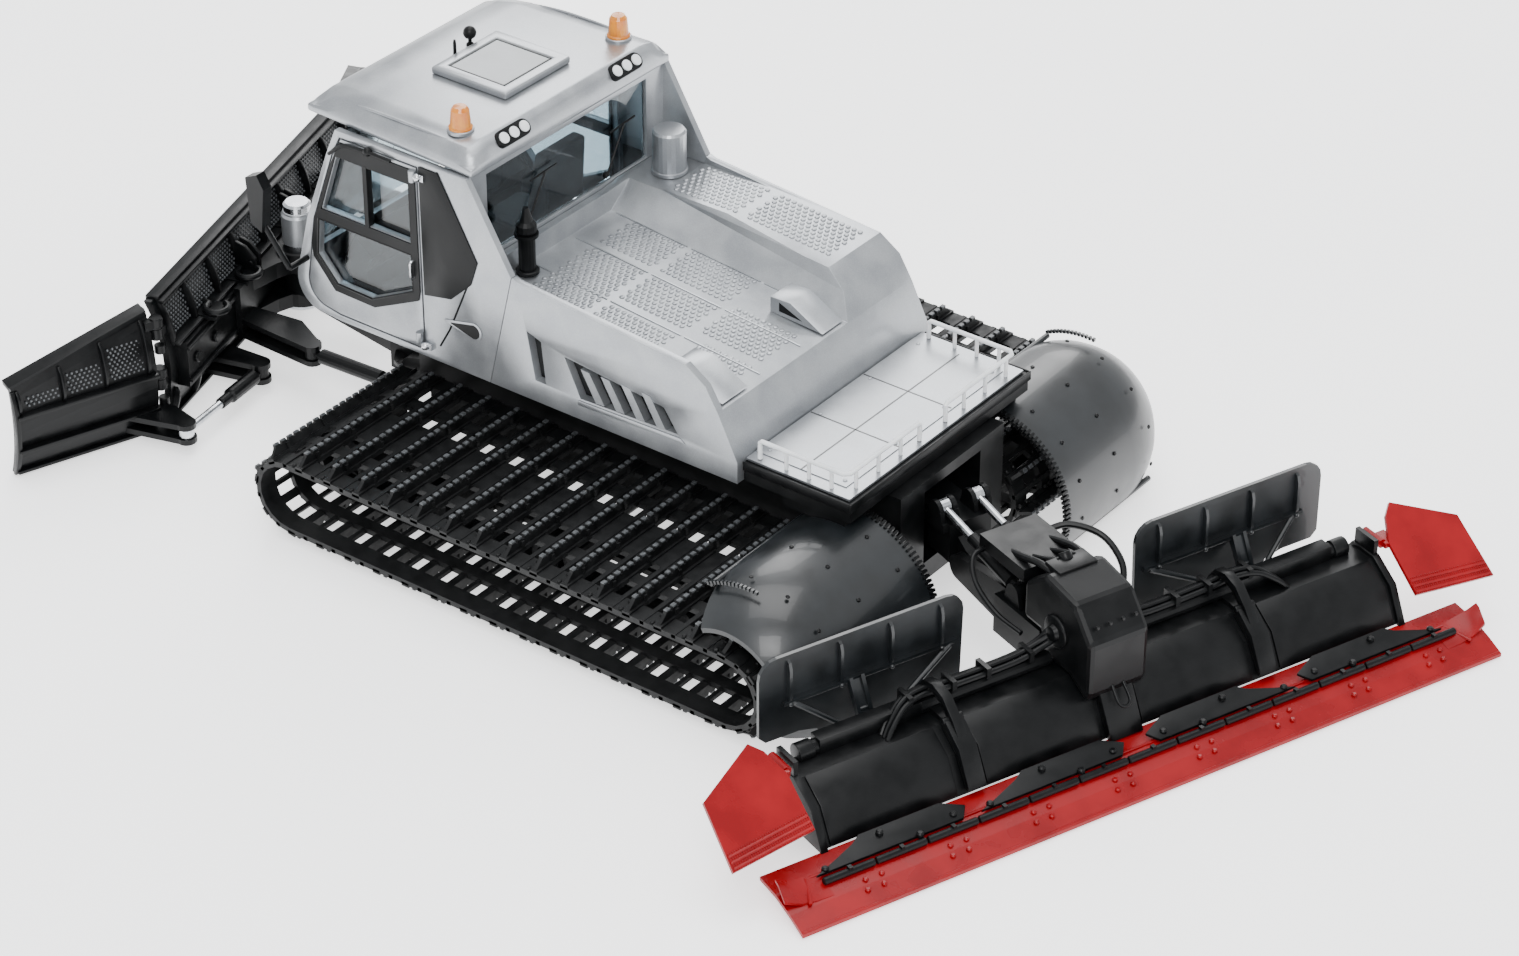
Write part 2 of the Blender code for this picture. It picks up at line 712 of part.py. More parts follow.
def mirror(side, material, parent):
    """Mirror head on a bent bar from the cab's lower front corner."""
    s = SIDES[side]
    face = BODY_HALF_WIDTH + 0.0135
    low, high = span(side, face - 0.0025, face + 0.0025)
    outline = [(0.2890, 0.107), (0.2950, 0.110), (0.2965, 0.131), (0.2900, 0.134), (0.2865, 0.128)]
    head = prism("mirror_" + side, outline, "Y", low, high)
    wall = BODY_HALF_WIDTH + GAP
    foot = (0.2790, s * wall, 0.0915)
    elbow = (0.2790, s * (wall + 0.011), 0.0915)
    neck = (0.2910, s * face, 0.111)
    bars = [cylinder(f"mirror_bar_{side}_0", foot, elbow, 0.0013, 10)]
    bars.append(cylinder(f"mirror_bar_{side}_1", elbow, neck, 0.0013, 10))
    fuse(head, *bars)
    return settle(head, material, parent)


# ---------------------------------------------------------------- load bed and platform


def floor_z(x):
    """Height of the load bed's floor, which falls towards the rear."""
    slope = (FLOOR_FRONT_Z - FLOOR_REAR_Z) / (BENCH_X - BED_REAR_X)
    return FLOOR_REAR_Z + slope * (x - BED_REAR_X)


BENCH_X = 0.1850
BED_WALL = 0.0035
BODY_REAR_X = PLATFORM_LENGTH + GAP


def engine_body(material, parent):
    """The bodywork behind the cab: sunk load bed, raised bin on the right, louvre pockets in the sides."""
    outline = [
        (BODY_REAR_X, BODY_BOTTOM),
        (BODY_REAR_X, PLATFORM_TOP),
        (BED_REAR_X - 0.0003, FLOOR_REAR_Z - 0.0004),
        (BED_REAR_X + 0.006, FLOOR_REAR_Z + 0.010),
        (BED_REAR_X + 0.016, FLOOR_REAR_Z + 0.0165),
        (SEAM_TOP_X - 0.003, SEAM_TOP_Z - 0.001),
        (SEAM_TOP_X - GAP, SEAM_TOP_Z),
        (SEAM_BOTTOM_X - GAP, BODY_BOTTOM),
    ]
    body = prism("engine_body", outline, "Y", -BODY_HALF_WIDTH, BODY_HALF_WIDTH)
    inner = BODY_HALF_WIDTH - BODY_WALL - GAP
    tongue = box("bed_front", (0.150, -inner, BODY_BOTTOM), (CAB_REAR_X - GAP, inner, WINDOW_BOTTOM - GAP))
    fuse(body, tongue)
    left = BODY_HALF_WIDTH - BED_WALL
    tall = 0.15
    bench_top = WINDOW_BOTTOM - 0.0015

    def ring(x, floor):
        base = max(floor, BODY_BOTTOM)
        slant = BIN_INNER_Y + 0.013
        corners = [(slant, base), (left, base), (left, tall), (BIN_INNER_Y, tall), (BIN_INNER_Y, BIN_TOP_Z)]
        return [(x, y, z) for y, z in corners]

    back = BED_REAR_X - 0.02
    ramp = [(back, floor_z(back)), (BENCH_X, floor_z(BENCH_X))]
    ramp += [(BENCH_X + 0.001, bench_top), (0.2, bench_top)]
    sunk = loft("bed_space", [ring(x, floor) for x, floor in ramp])
    over_bin = box("bin_space", (back - 0.002, -left, BIN_TOP_Z), (0.203, BIN_INNER_Y + 0.001, tall - 0.002))
    cut(body, sunk, over_bin)
    pockets = []
    for side in SIDES:
        low, high = span(side, BODY_HALF_WIDTH - POCKET_DEPTH, BODY_HALF_WIDTH + 0.01)
        for name, shape in (("narrow", NARROW_LOUVRE), ("long", LONG_LOUVRE)):
            pockets.append(prism(f"{name}_louvre_{side}", shape, "Y", low, high))
    cut(body, *pockets)
    return settle(body, material, parent)


POCKET_DEPTH = 0.004
NARROW_LOUVRE = [(0.1595, 0.0985), (0.1520, 0.0960), (0.1500, 0.0765), (0.1555, 0.0765)]
LONG_LOUVRE = [(0.1400, 0.0935), (0.0890, 0.0885), (0.0820, 0.0785), (0.1320, 0.0765)]


def exhaust_stack(material, parent):
    start = (0.1755, -0.0490, BIN_TOP_Z + GAP)
    profile = [(0.0, 0.0), (0.0, 0.0073), (0.0185, 0.0073), (0.0195, 0.0065), (0.0195, 0.0)]
    return settle(turned("exhaust_stack", profile, start, (*start[:2], 1), 24), material, parent)


def rear_post(material, parent):
    """Dark canister with a domed top that stands on the bed behind the cab."""
    place = (0.1800, 0.0400)
    start = (*place, floor_z(place[0] + 0.0035) + GAP)
    profile = [(0.0, 0.0), (0.0, 0.0036), (0.0180, 0.0036), (0.0195, 0.0044), (0.0225, 0.0044)]
    profile += [(0.0240, 0.0030), (0.0300, 0.0012), (0.0300, 0.0)]
    return settle(turned("rear_post", profile, start, (*place, 1), 16), material, parent)


def rear_platform(material, parent):
    low = (0.0, -PLATFORM_HALF_WIDTH, BODY_BOTTOM)
    made = box("rear_platform", low, (PLATFORM_LENGTH, PLATFORM_HALF_WIDTH, PLATFORM_TOP - 0.001 - GAP))
    return settle(made, material, parent)


def platform_plate(material, parent):
    edge = 0.0015
    low = (edge, -PLATFORM_HALF_WIDTH + edge, PLATFORM_TOP - 0.001)
    high = (PLATFORM_LENGTH, PLATFORM_HALF_WIDTH - edge, PLATFORM_TOP)
    plate = box("platform_plate", low, high)
    inset = 0.0075  # the raised part lies inside the railing
    low = (inset, -PLATFORM_HALF_WIDTH + inset, PLATFORM_TOP - 0.0005)
    high = (PLATFORM_LENGTH - 0.0003, PLATFORM_HALF_WIDTH - inset, PLATFORM_TOP + PANEL_RISE)
    fuse(plate, box("platform_panel", low, high))
    return settle(plate, material, parent)


def deck_railing(side, material, parent):
    """Bar that rises from the plate, follows the side and turns along the rear edge."""
    s = SIDES[side]
    foot = PLATFORM_TOP + GAP
    top = PLATFORM_TOP + 0.0085
    y = s * (PLATFORM_HALF_WIDTH - 0.004)
    route = [
        (PLATFORM_LENGTH - 0.005, y, foot),
        (PLATFORM_LENGTH - 0.005, y, top - 0.001),
        (PLATFORM_LENGTH - 0.006, y, top),
        (0.0065, y, top),
        (0.0045, y - s * 0.0020, top),
        (0.0045, s * 0.010, top),
        (0.0045, s * 0.009, top - 0.001),
        (0.0045, s * 0.009, foot),
    ]
    return settle(tube("deck_railing_" + side, route, 0.0010), material, parent)


# ---------------------------------------------------------------- rear fenders


def fender(side, material, parent):
    """Half-round hood over the rear of a track, with a rounded outer end and a saddle under the platform."""
    inner_y = FENDER_INNER_Y
    stations = [(inner_y, 0.0), (FENDER_OUTER_Y - 0.014, 0.0), (FENDER_OUTER_Y - 0.006, 0.002)]
    stations += [(FENDER_OUTER_Y - 0.002, 0.006), (FENDER_OUTER_Y, 0.011)]
    centre = (TRACK_REAR_X, AXLE_Z)
    outer = []
    inner = []
    for y, drop in stations:
        place = SIDES[side] * y
        rim = arc(centre, FENDER_RADIUS - drop, 62, 205, 18)
        back = arc(centre, FENDER_RADIUS - drop - FENDER_WALL, 62, 205, 18)
        outer.append([Vector((x, place, z)) for x, z in rim])
        inner.append([Vector((x, place, z)) for x, z in back])
    hood = slab("fender_" + side, outer, inner)
    low, high = span(side, inner_y + 0.0005, PLATFORM_HALF_WIDTH - 0.002)
    saddle = box(
        "saddle_" + side,
        (TRACK_REAR_X - 0.004, low, AXLE_Z + FENDER_RADIUS - FENDER_WALL),
        (TRACK_REAR_X + 0.004, high, BODY_BOTTOM - GAP),
    )
    fuse(hood, saddle)
    return settle(hood, material, parent)


# ---------------------------------------------------------------- rams


def ram_frame(name, place, aim, parent, upright):
    """An empty at a ram's barrel eye whose +X points at the rod's eye. upright is the pin's axis."""
    empty = pivot(name, place, parent)
    along = (Vector(aim) - Vector(place)).normalized()
    across = Vector(upright).cross(along).normalized()
    frame = Matrix((along, across, along.cross(across))).transposed()
    empty.rotation_euler = frame.to_euler()
    place_of[empty] = Vector()
    return empty


def ram_barrel(name, length, pin, material, parent):
    """Eye at the origin and a tube along +X, bored from its open end, which is a slim gland."""
    neck = length - 0.0065
    body = turned(
        name,
        [(0.0018, 0.0), (0.0018, 0.0019), (0.0052, 0.0019), (0.0058, BARREL_RADIUS)]
        + [(neck - 0.0008, BARREL_RADIUS), (neck, GLAND_RADIUS)]
        + [(length, GLAND_RADIUS), (length, ROD_RADIUS + GAP)]
        + [(0.0060, ROD_RADIUS + GAP), (0.0060, 0.0)],
        (0, 0, 0),
        (1, 0, 0),
        16,
    )
    eye = cylinder(name + "_eye", Vector(pin) * -EYE_HALF, Vector(pin) * EYE_HALF, EYE_RADIUS, 16)
    fuse(body, eye)
    return settle(body, material, parent)


def ram_rod(name, length, reach, pin, material, parent):
    """Rod along X whose eye lies at reach; its inner end lies length behind the eye."""
    bar = cylinder(name, (reach - length, 0, 0), (reach - EYE_RADIUS + 0.001, 0, 0), ROD_RADIUS, 12)
    middle = Vector((reach, 0, 0))
    half = Vector(pin) * EYE_HALF
    eye = cylinder(name + "_eye", middle - half, middle + half, EYE_RADIUS, 16)
    fuse(bar, eye)
    return settle(bar, material, parent)


def lug_plates(name, outline, middle, gap=GAP):
    """Two plates above and below a ram's eye, as prisms along Z."""
    near = EYE_HALF + gap
    far = EYE_HALF + GAP + LUG
    above = prism(name + "_above", outline, "Z", middle + near, middle + far)
    below = prism(name + "_below", outline, "Z", middle - far, middle - near)
    return above, below


# ---------------------------------------------------------------- blade


def lift_frame(material, parent):
    """A-frame from the two front lugs to the king pin, with ears for the swing rams."""
    leg = FRONT_LUG_Y - LUG - GAP
    head = arc((KING_PIN_X, 0.0), LIFT_HEAD_RADIUS, -90, 90, 12)
    outline = [(LIFT_AXIS_X, -leg), (0.326, -0.013), (0.338, -LIFT_HEAD_RADIUS), *head]
    outline += [(0.338, LIFT_HEAD_RADIUS), (0.326, 0.013), (LIFT_AXIS_X, leg), (LIFT_AXIS_X, leg - 0.007)]
    outline += [(0.306, 0.0065), (0.306, -0.0065), (LIFT_AXIS_X, -leg + 0.007)]
    frame = prism("blade_lift_frame", outline, "Z", LIFT_FRAME_LOW, LIFT_FRAME_HIGH)
    extras = []
    for side, s in SIDES.items():
        start = (LIFT_AXIS_X, s * (leg - 0.007), LIFT_AXIS_Z)
        end = (LIFT_AXIS_X, s * leg, LIFT_AXIS_Z)
        extras.append(cylinder("lift_eye_" + side, start, end, LIFT_EYE_RADIUS, 18))
        x, y = SWING_RAM_FRAME
        ear = [(0.266, 0.016), (0.277, 0.016), (0.268, 0.0285)]
        ear += arc((x, y), LUG_RADIUS, -35, 250, 12)
        ear += [(0.2635, 0.0295), (0.266, 0.0290)]
        ear = ear if s > 0 else mirrored(ear)
        extras += lug_plates("ram_ear_" + side, ear, SWING_RAM_Z, EAR_GAP)
        low, high = span(side, 0.016, 0.0215)
        bottom = SWING_RAM_Z - EYE_HALF - GAP - LUG
        extras.append(box("ear_root_" + side, (0.267, low, bottom), (0.276, high, LIFT_FRAME_HIGH - 0.001)))
    fuse(frame, *extras)
    holes = [cylinder("head_bore", (KING_PIN_X, 0, 0.01), (KING_PIN_X, 0, 0.05), KING_PIN_RADIUS + GAP, 24)]
    ends = (LIFT_AXIS_X, -0.03, LIFT_AXIS_Z), (LIFT_AXIS_X, 0.03, LIFT_AXIS_Z)
    holes.append(cylinder("lift_bore", *ends, 0.0025, 12))
    cut(frame, *holes)
    return settle(frame, material, parent)


HEAD_TOP_PLATE = 0.0077
HEAD_LOW = SWING_RAM_Z - EYE_HALF - GAP - LUG


def king_pin(material, parent):
    top = LIFT_FRAME_HIGH + GAP + HEAD_TOP_PLATE + GAP
    low = HEAD_LOW - GAP
    profile = [(low - 0.002, 0.0), (low - 0.002, 0.0085), (low, 0.0085), (low, KING_PIN_RADIUS)]
    profile += [(top, KING_PIN_RADIUS), (top, 0.0085), (top + 0.002, 0.0085), (top + 0.002, 0.0062)]
    profile += [(KING_PIN_TOP - 0.001, 0.0062), (KING_PIN_TOP, 0.0052), (KING_PIN_TOP, 0.0)]
    return settle(turned("king_pin", profile, (KING_PIN_X, 0, 0), (KING_PIN_X, 0, 1), 24), material, parent)


def swing_head(material, parent):
    """Clevis round the king pin with two arms for the swing rams; the blade is fixed to its front wall."""
    front = BLADE_BACK_X - GAP
    wall = 0.0029
    hub = 0.010
    half = 0.042
    arm_x = KING_PIN_X + SWING_RAM_BLADE[0]
    arm_y = SWING_RAM_BLADE[1]

    def arm(s):
        points = [(front - wall, 0.030), (front - wall, half), *arc((arm_x, arm_y), LUG_RADIUS, 60, 260, 8)]
        points += [(arm_x + 0.012, 0.034)]
        return points if s > 0 else mirrored(points)

    back = arc((KING_PIN_X, 0.0), hub, 90, 270, 12)
    plate = [(front, half - 0.006), (KING_PIN_X + 0.004, hub + 0.006), *back]
    plate += [(KING_PIN_X + 0.004, -hub - 0.006), (front, -half + 0.006)]
    low = HEAD_LOW
    bed = LIFT_FRAME_HIGH + GAP
    made = prism("blade_swing_head", plate, "Z", bed, bed + HEAD_TOP_PLATE)
    extras = [prism("head_floor", plate, "Z", low, LIFT_FRAME_LOW - GAP)]
    top = LIFT_FRAME_HIGH + GAP + HEAD_TOP_PLATE
    extras.append(box("head_wall", (front - wall, -half, low), (front, half, top)))
    for side, s in SIDES.items():
        extras += lug_plates("swing_arm_" + side, arm(s), SWING_RAM_Z)
    fuse(made, *extras)
    bore = cylinder("head_pin_bore", (KING_PIN_X, 0, 0.005), (KING_PIN_X, 0, 0.06), KING_PIN_RADIUS + GAP, 24)
    cut(made, bore)
    return settle(made, material, parent)


MOULD_MIDDLE = 0.030
MOULD_DEPTH = 0.005  # beam in front of BLADE_BACK_X, up to the plate's back
WING_HINGE_X = BLADE_BACK_X + MOULD_DEPTH + 0.0035
WING_START = WING_HINGE_Y + 0.0030


def mould_x(z, radius):
    """Back face of the mouldboard for radius BLADE_CURVE + PLATE, its front face for BLADE_CURVE."""
    centre = BLADE_BACK_X + MOULD_DEPTH + PLATE + BLADE_CURVE
    return centre - math.sqrt(radius**2 - (z - MOULD_MIDDLE) ** 2)


def seat_x(low, high):
    """How far forward a fitting between two heights must reach to bite into the plate."""
    radius = BLADE_CURVE + PLATE
    return max(mould_x(low, radius), mould_x(high, radius)) + 0.0008


def mouldboard(height, steps=10):
    """Section of the blade, (x, z): hollow front face and a back face one plate behind it."""
    heights = [BLADE_BOTTOM + (height - BLADE_BOTTOM) * i / steps for i in range(steps + 1)]
    front = [(mould_x(z, BLADE_CURVE), z) for z in heights]
    back = [(mould_x(z, BLADE_CURVE + PLATE), z) for z in heights]
    return front + back[::-1]


def eye_ring(name, side, low, height):
    place = (WING_HINGE_X, SIDES[side] * WING_HINGE_Y)
    return cylinder(f"{name}_{side}_{low}", (*place, low), (*place, low + height), 0.0027, 14)


def lug_levels(middle):
    """Heights (low, high) of the two plates round a ram's eye."""
    inner = EYE_HALF + GAP
    return (middle - inner - LUG, middle - inner), (middle + inner, middle + inner + LUG)


def blade_main(material, parent):
    made = prism("blade_main", mouldboard(BLADE_HEIGHT), "Y", -BLADE_HALF_WIDTH, BLADE_HALF_WIDTH)
    beam = BLADE_HALF_WIDTH - 0.007
    extras = [box("blade_beam", (BLADE_BACK_X, -beam, 0.018), (BLADE_BACK_X + 0.0065, beam, 0.040))]
    for side, s in SIDES.items():
        x, y = WING_RAM_BLADE
        for low, high in lug_levels(WING_RAM_Z):
            front = seat_x(low, high)
            bracket = [(front, y + 0.003), *arc((x, y), LUG_RADIUS, 60, 260, 10), (front, y - 0.010)]
            bracket = bracket if s > 0 else mirrored(bracket)
            extras.append(prism(f"wing_ram_bracket_{side}_{low:.4f}", bracket, "Z", low, high))
        for z in (0.022, 0.047):
            near, far = span(side, BLADE_HALF_WIDTH - 0.001, WING_HINGE_Y)
            low = (WING_HINGE_X - 0.0022, near, z + 0.0005)
            neck = box(f"hinge_neck_{side}_{z}", low, (WING_HINGE_X + 0.0022, far, z + 0.0045))
            extras += [neck, eye_ring("hinge_eye", side, z, 0.005)]
    fuse(made, *extras)
    return settle(made, material, parent)


def blade_wing(side, material, parent):
    """Side wing: the mouldboard's section, lower towards the tip, hung on a vertical pin."""
    s = SIDES[side]
    rings = []
    for k in range(5):
        share = k / 4
        section = mouldboard(BLADE_HEIGHT - 0.001 - WING_TIP_DROP * share)
        y = s * (WING_START + WING_LENGTH * share)
        rings.append([(x + 0.004 * share, y, z) for x, z in section])
    wing = loft("blade_wing_" + side, rings)
    extras = []
    tip = (WING_HINGE_X - WING_LEVER, WING_HINGE_Y)
    for low, high in lug_levels(WING_RAM_Z):
        front = seat_x(low, high)
        lever = [(front + 0.001, WING_START + 0.016), *arc(tip, LUG_RADIUS, 95, 265, 8)]
        lever += [(WING_HINGE_X - 0.006, WING_HINGE_Y - 0.003), (WING_HINGE_X - 0.001, WING_HINGE_Y)]
        lever += [(front, WING_START + 0.0005)]
        lever = lever if s > 0 else mirrored(lever)
        extras.append(prism(f"wing_lever_{side}_{low:.4f}", lever, "Z", low, high))
    for z in (0.0273, 0.0523):
        near, far = span(side, WING_HINGE_Y, WING_START + 0.003)
        low = (WING_HINGE_X - 0.002, near, z + 0.0005)
        neck = box(f"wing_neck_{side}_{z}", low, (WING_HINGE_X + 0.002, far, z + 0.0045))
        extras += [neck, eye_ring("wing_eye", side, z, 0.005)]
    fuse(wing, *extras)
    return settle(wing, material, parent)


# ---------------------------------------------------------------- tiller


def tiller_carrier(material, parent):
    """Fork round the tail lug; it swings about the vertical pin and carries the lift axis."""
    place = (TILLER_SWING_X, 0.0)
    top_low = TAIL_LUG_HIGH + GAP
    plate = [(-0.024, 0.010), *arc(place, 0.0085, 90, -90, 12), (-0.024, -0.010)]
    made = prism("tiller_carrier", plate, "Z", top_low, top_low + 0.004)
    extras = [prism("carrier_floor", plate, "Z", TAIL_LUG_LOW - GAP - 0.005, TAIL_LUG_LOW - GAP)]
    low = (-0.024, -0.010, TAIL_LUG_LOW - 0.005)
    extras.append(box("carrier_block", low, (-0.0085, 0.010, top_low + 0.0035)))
    pin_low = (*place, TAIL_LUG_LOW - GAP - 0.003)
    extras.append(cylinder("tail_pin", pin_low, (*place, top_low + 0.003), TAIL_PIN_RADIUS, 16))
    nose = [(-0.020, TILLER_LIFT_Z - 0.0005), *arc((TILLER_LIFT_X, TILLER_LIFT_Z), 0.006, 250, 90, 10)]
    nose += [(-0.020, TILLER_LIFT_Z + 0.012)]
    extras.append(prism("lift_lug", nose, "Y", -0.006, 0.006))
    x, z = TILLER_RAM_CARRIER
    for side, s in SIDES.items():
        cheek = [(x - 0.006, top_low), (x - 0.0045, z), *arc((x, z), 0.0040, 180, 0, 8)]
        cheek.append((x + 0.0065, top_low))
        for near in (TILLER_RAM_Y - EYE_HALF - GAP - 0.002, TILLER_RAM_Y + EYE_HALF + GAP):
            low, high = span(side, near, near + 0.002)
            extras.append(prism(f"ram_cheek_{side}_{near:.4f}", cheek, "Y", low, high))
        low, high = span(side, 0.002, TILLER_RAM_Y + EYE_HALF + GAP + 0.002)
        far = (x + 0.0070, high, top_low + 0.004)
        extras.append(box("cheek_floor_" + side, (x - 0.0065, low, top_low), far))
    fuse(made, *extras)
    ends = (TILLER_LIFT_X, -0.01, TILLER_LIFT_Z), (TILLER_LIFT_X, 0.01, TILLER_LIFT_Z)
    bore = cylinder("lift_pin_bore", *ends, 0.0023, 12)
    cut(made, bore)
    return settle(made, material, parent)


def tiller_arm(material, parent):
    """Two cheeks from the lift pin back to the tiller, with the lift rams' lugs and the hose cover on top."""
    x0, z0 = TILLER_LIFT_X, TILLER_LIFT_Z
    cheek = [(-0.066, 0.024), *arc((x0, z0), 0.0055, 270, 450, 10), (-0.060, 0.043), (-0.066, 0.043)]
    low, high = 0.0063, 0.0103
    made = box("tiller_arm", (-0.0905, -0.0135, 0.0225), (-0.060, 0.0135, 0.040))
    extras = [prism("cheek_left", cheek, "Y", low, high), prism("cheek_right", cheek, "Y", -high, -low)]
    extras.append(cylinder("lift_cross_pin", (x0, -high + 0.001, z0), (x0, high - 0.001, z0), 0.0020, 12))
    x, z = TILLER_RAM_ARM
    for side, s in SIDES.items():
        lug = [(x - 0.006, 0.038), (x - 0.004, z), *arc((x, z), 0.0040, 180, 0, 8), (x + 0.006, 0.038)]
        for near in (TILLER_RAM_Y - EYE_HALF - GAP - 0.002, TILLER_RAM_Y + EYE_HALF + GAP):
            a, b = span(side, near, near + 0.002)
            extras.append(prism(f"arm_lug_{side}_{near:.4f}", lug, "Y", a, b))
    extras.append(box("hose_box_post", (-0.0790, -0.0030, 0.0390), (-0.0760, 0.0030, 0.0610)))
    extras.append(box("hose_box", (-0.0790, -0.0135, 0.0562), (-0.0490, 0.0135, 0.0620)))
    fuse(made, *extras)
    return settle(made, material, parent)


def cover_outline(grow, rear_z=0.0100):
    """Section of the rotor cover, (x, z), from its front lower edge over the top to its rear lower edge."""
    return [
        (-0.0915 + grow, 0.0100),
        (-0.0915 + grow, 0.0220 + grow * 0.4),
        (-0.0980 + grow * 0.4, COVER_TOP + grow),
        (-0.1100 - grow * 0.3, COVER_TOP + grow),
        (-0.1210 - grow * 0.8, 0.0240 + grow * 0.6),
        (-0.1285 - grow, rear_z),
    ]


def tiller_cover(material, parent):
    """Rotor cover with end plates, a cross tube and two arched straps."""
    half = COVER_HALF_WIDTH
    section = cover_outline(0.0) + cover_outline(-COVER_WALL)[::-1]
    made = prism("tiller_cover", section, "Y", -half, half)
    extras = []
    for side, s in SIDES.items():
        low, high = span(side, half - 0.002, half)
        extras.append(prism("cover_end_" + side, cover_outline(-0.0005), "Y", low, high))
        crest = FINISHER_HINGE_Z + 0.003
        ear = [(-0.098, 0.025), (-0.098, crest), (-0.110, crest), (-0.110, 0.025)]
        extras.append(prism("finisher_ear_" + side, ear, "Y", low, high))
        start = (-0.0985, s * 0.0150, COVER_TOP + 0.0020)
        end = (start[0], s * (half - 0.013), start[2])
        extras.append(cylinder("cross_tube_" + side, start, end, 0.0032, 14))
        low, high = span(side, 0.0670, 0.0720)
        strap = cover_outline(0.0020, 0.0135) + cover_outline(-0.0010, 0.0135)[::-1]
        extras.append(prism("strap_" + side, strap, "Y", low, high))
    fuse(made, *extras)
    ends = (ROTOR_X, -half - 0.01, ROTOR_Z), (ROTOR_X, half + 0.01, ROTOR_Z)
    bore = cylinder("rotor_bore", *ends, 0.0023, 14)
    cut(made, bore)
    return settle(made, material, parent)


def tiller_rotor(material, parent):
    """Milling shaft under the cover, on stub ends in the end plates."""
    half = COVER_HALF_WIDTH
    wall = half - 0.0030
    profile = [(-half, 0.0), (-half, 0.0020), (-wall, 0.0020), (-wall, ROTOR_RADIUS), (wall, ROTOR_RADIUS)]
    profile += [(wall, 0.0020), (half, 0.0020), (half, 0.0)]
    made = turned("tiller_rotor", profile, (ROTOR_X, 0, ROTOR_Z), (ROTOR_X, 1, ROTOR_Z), 16)
    return settle(made, material, parent)


def gearbox(material, parent):
    """Faceted drive housing over the middle of the cover."""
    seat_z = COVER_TOP + GAP
    outline = [
        (-0.0800, seat_z + 0.010),
        (-0.0908, seat_z + 0.010),
        (-0.0940, seat_z),
        (-0.1105, seat_z),
        (-0.1222, 0.0250),
        (-0.1240, 0.0300),
        (-0.1240, 0.0520),
        (-0.1130, 0.0650),
        (-0.0930, 0.0680),
        (-0.0800, 0.0580),
    ]
    made = prism("tiller_gearbox", outline, "Y", -0.0140, 0.0140)
    return settle(bevel(made, 0.0022), material, parent)


def flap(side, material, parent):
    """Upright plate behind a track, on a braced bracket from the cover's front."""
    s = SIDES[side]
    a, b = FLAP_INNER_Y, FLAP_OUTER_Y
    low, high = FLAP_BOTTOM, FLAP_TOP
    outline = [(a + 0.001, low), (b - 0.030, low), (b - 0.026, low + 0.005), (b - 0.018, low + 0.007)]
    outline += [(b - 0.003, low + 0.007), (b, low + 0.010), *arc((b - 0.008, high - 0.008), 0.008, 0, 90, 4)]
    outline += [*arc((a + 0.008, high - 0.008), 0.008, 90, 180, 4)]
    outline = [(s * y, z) for y, z in outline]
    plate = prism("flap_" + side, outline, "X", FLAP_X, FLAP_X + 0.0016)
    rail_z = 0.040
    low_y, high_y = span(side, a + 0.004, b - 0.010)
    corner = (FLAP_X + 0.0004, high_y, rail_z + 0.002)
    rail = box("flap_rail_" + side, (FLAP_X - 0.0020, low_y, rail_z), corner)
    foot_y = (a + b) / 2 + 0.004
    foot = (-0.0905, s * foot_y, 0.0180)
    bars = [rail]
    for i, y in enumerate((a + 0.006, b - 0.014)):
        end = (FLAP_X - 0.0010, s * y, rail_z + 0.001)
        bars.append(cylinder(f"flap_brace_{side}_{i}", (foot[0] + 0.001, s * foot_y, 0.0195), end, 0.0010, 8))
    low_y, high_y = span(side, foot_y - 0.004, foot_y + 0.004)
    bars.append(box("flap_foot_" + side, (-0.0915 + GAP, low_y, 0.0125), (-0.0890, high_y, 0.0225)))
    strut = [(-0.0900, 0.0185), (-0.0900, 0.0220)]
    strut += [(FLAP_X - 0.0015, rail_z + 0.002), (FLAP_X - 0.0005, rail_z - 0.002)]
    bars.append(prism("flap_strut_" + side, strut, "Y", low_y + 0.001, high_y - 0.001))
    fuse(plate, *bars)
    return settle(plate, material, parent)


def skirt(material, parent):
    """Rear finisher, bowed down to the snow from the hinge behind the cover."""
    top = [(SKIRT_HINGE_X, 0.0098), (-0.1400, 0.0088), (-0.1500, 0.0058), (SKIRT_REAR_X, 0.0024)]
    bottom = [(SKIRT_REAR_X, 0.0008), (-0.1500, 0.0042), (-0.1400, 0.0072), (SKIRT_HINGE_X, 0.0082)]
    made = prism("skirt", top + bottom, "Y", -SKIRT_HALF_WIDTH, SKIRT_HALF_WIDTH)
    return settle(made, material, parent)


def side_finisher(side, material, parent):
    """Sloping plate beyond the cover's end, on a fore-and-aft hinge."""
    s = SIDES[side]
    slope = Vector((0.806, 0.0, 0.592))
    normal = Vector((-0.592, 0.0, 0.806))
    origin = Vector((-0.1300, FINISHER_HINGE_Y + 0.0015, 0.0220))
    outline = [(0.0, 0.0), (0.0375, -0.0040), (0.0360, 0.0245)]
    outline += [(0.0095, 0.0392), (0.0048, 0.0345), (0.0, 0.0235)]
    rings = []
    for lift in (0.0, 0.0016):
        ring = []
        for out, up in outline:
            point = origin + Vector((0, out, 0)) + slope * up + normal * lift
            ring.append((point.x, s * point.y, point.z))
        rings.append(ring)
    made = loft("side_finisher_" + side, rings)
    start = (-0.1095, s * FINISHER_HINGE_Y, FINISHER_HINGE_Z)
    end = (-0.0985, s * FINISHER_HINGE_Y, FINISHER_HINGE_Z)
    knuckle = cylinder("finisher_knuckle_" + side, start, end, 0.0020, 12)
    low, high = span(side, FINISHER_HINGE_Y, FINISHER_HINGE_Y + 0.006)
    tab_low = (-0.1117, low, FINISHER_HINGE_Z - 0.0012)
    tab = box("finisher_tab_" + side, tab_low, (-0.1030, high, FINISHER_HINGE_Z + 0.0012))
    fuse(made, knuckle, tab)
    return settle(made, material, parent)


# ---------------------------------------------------------------- assembly


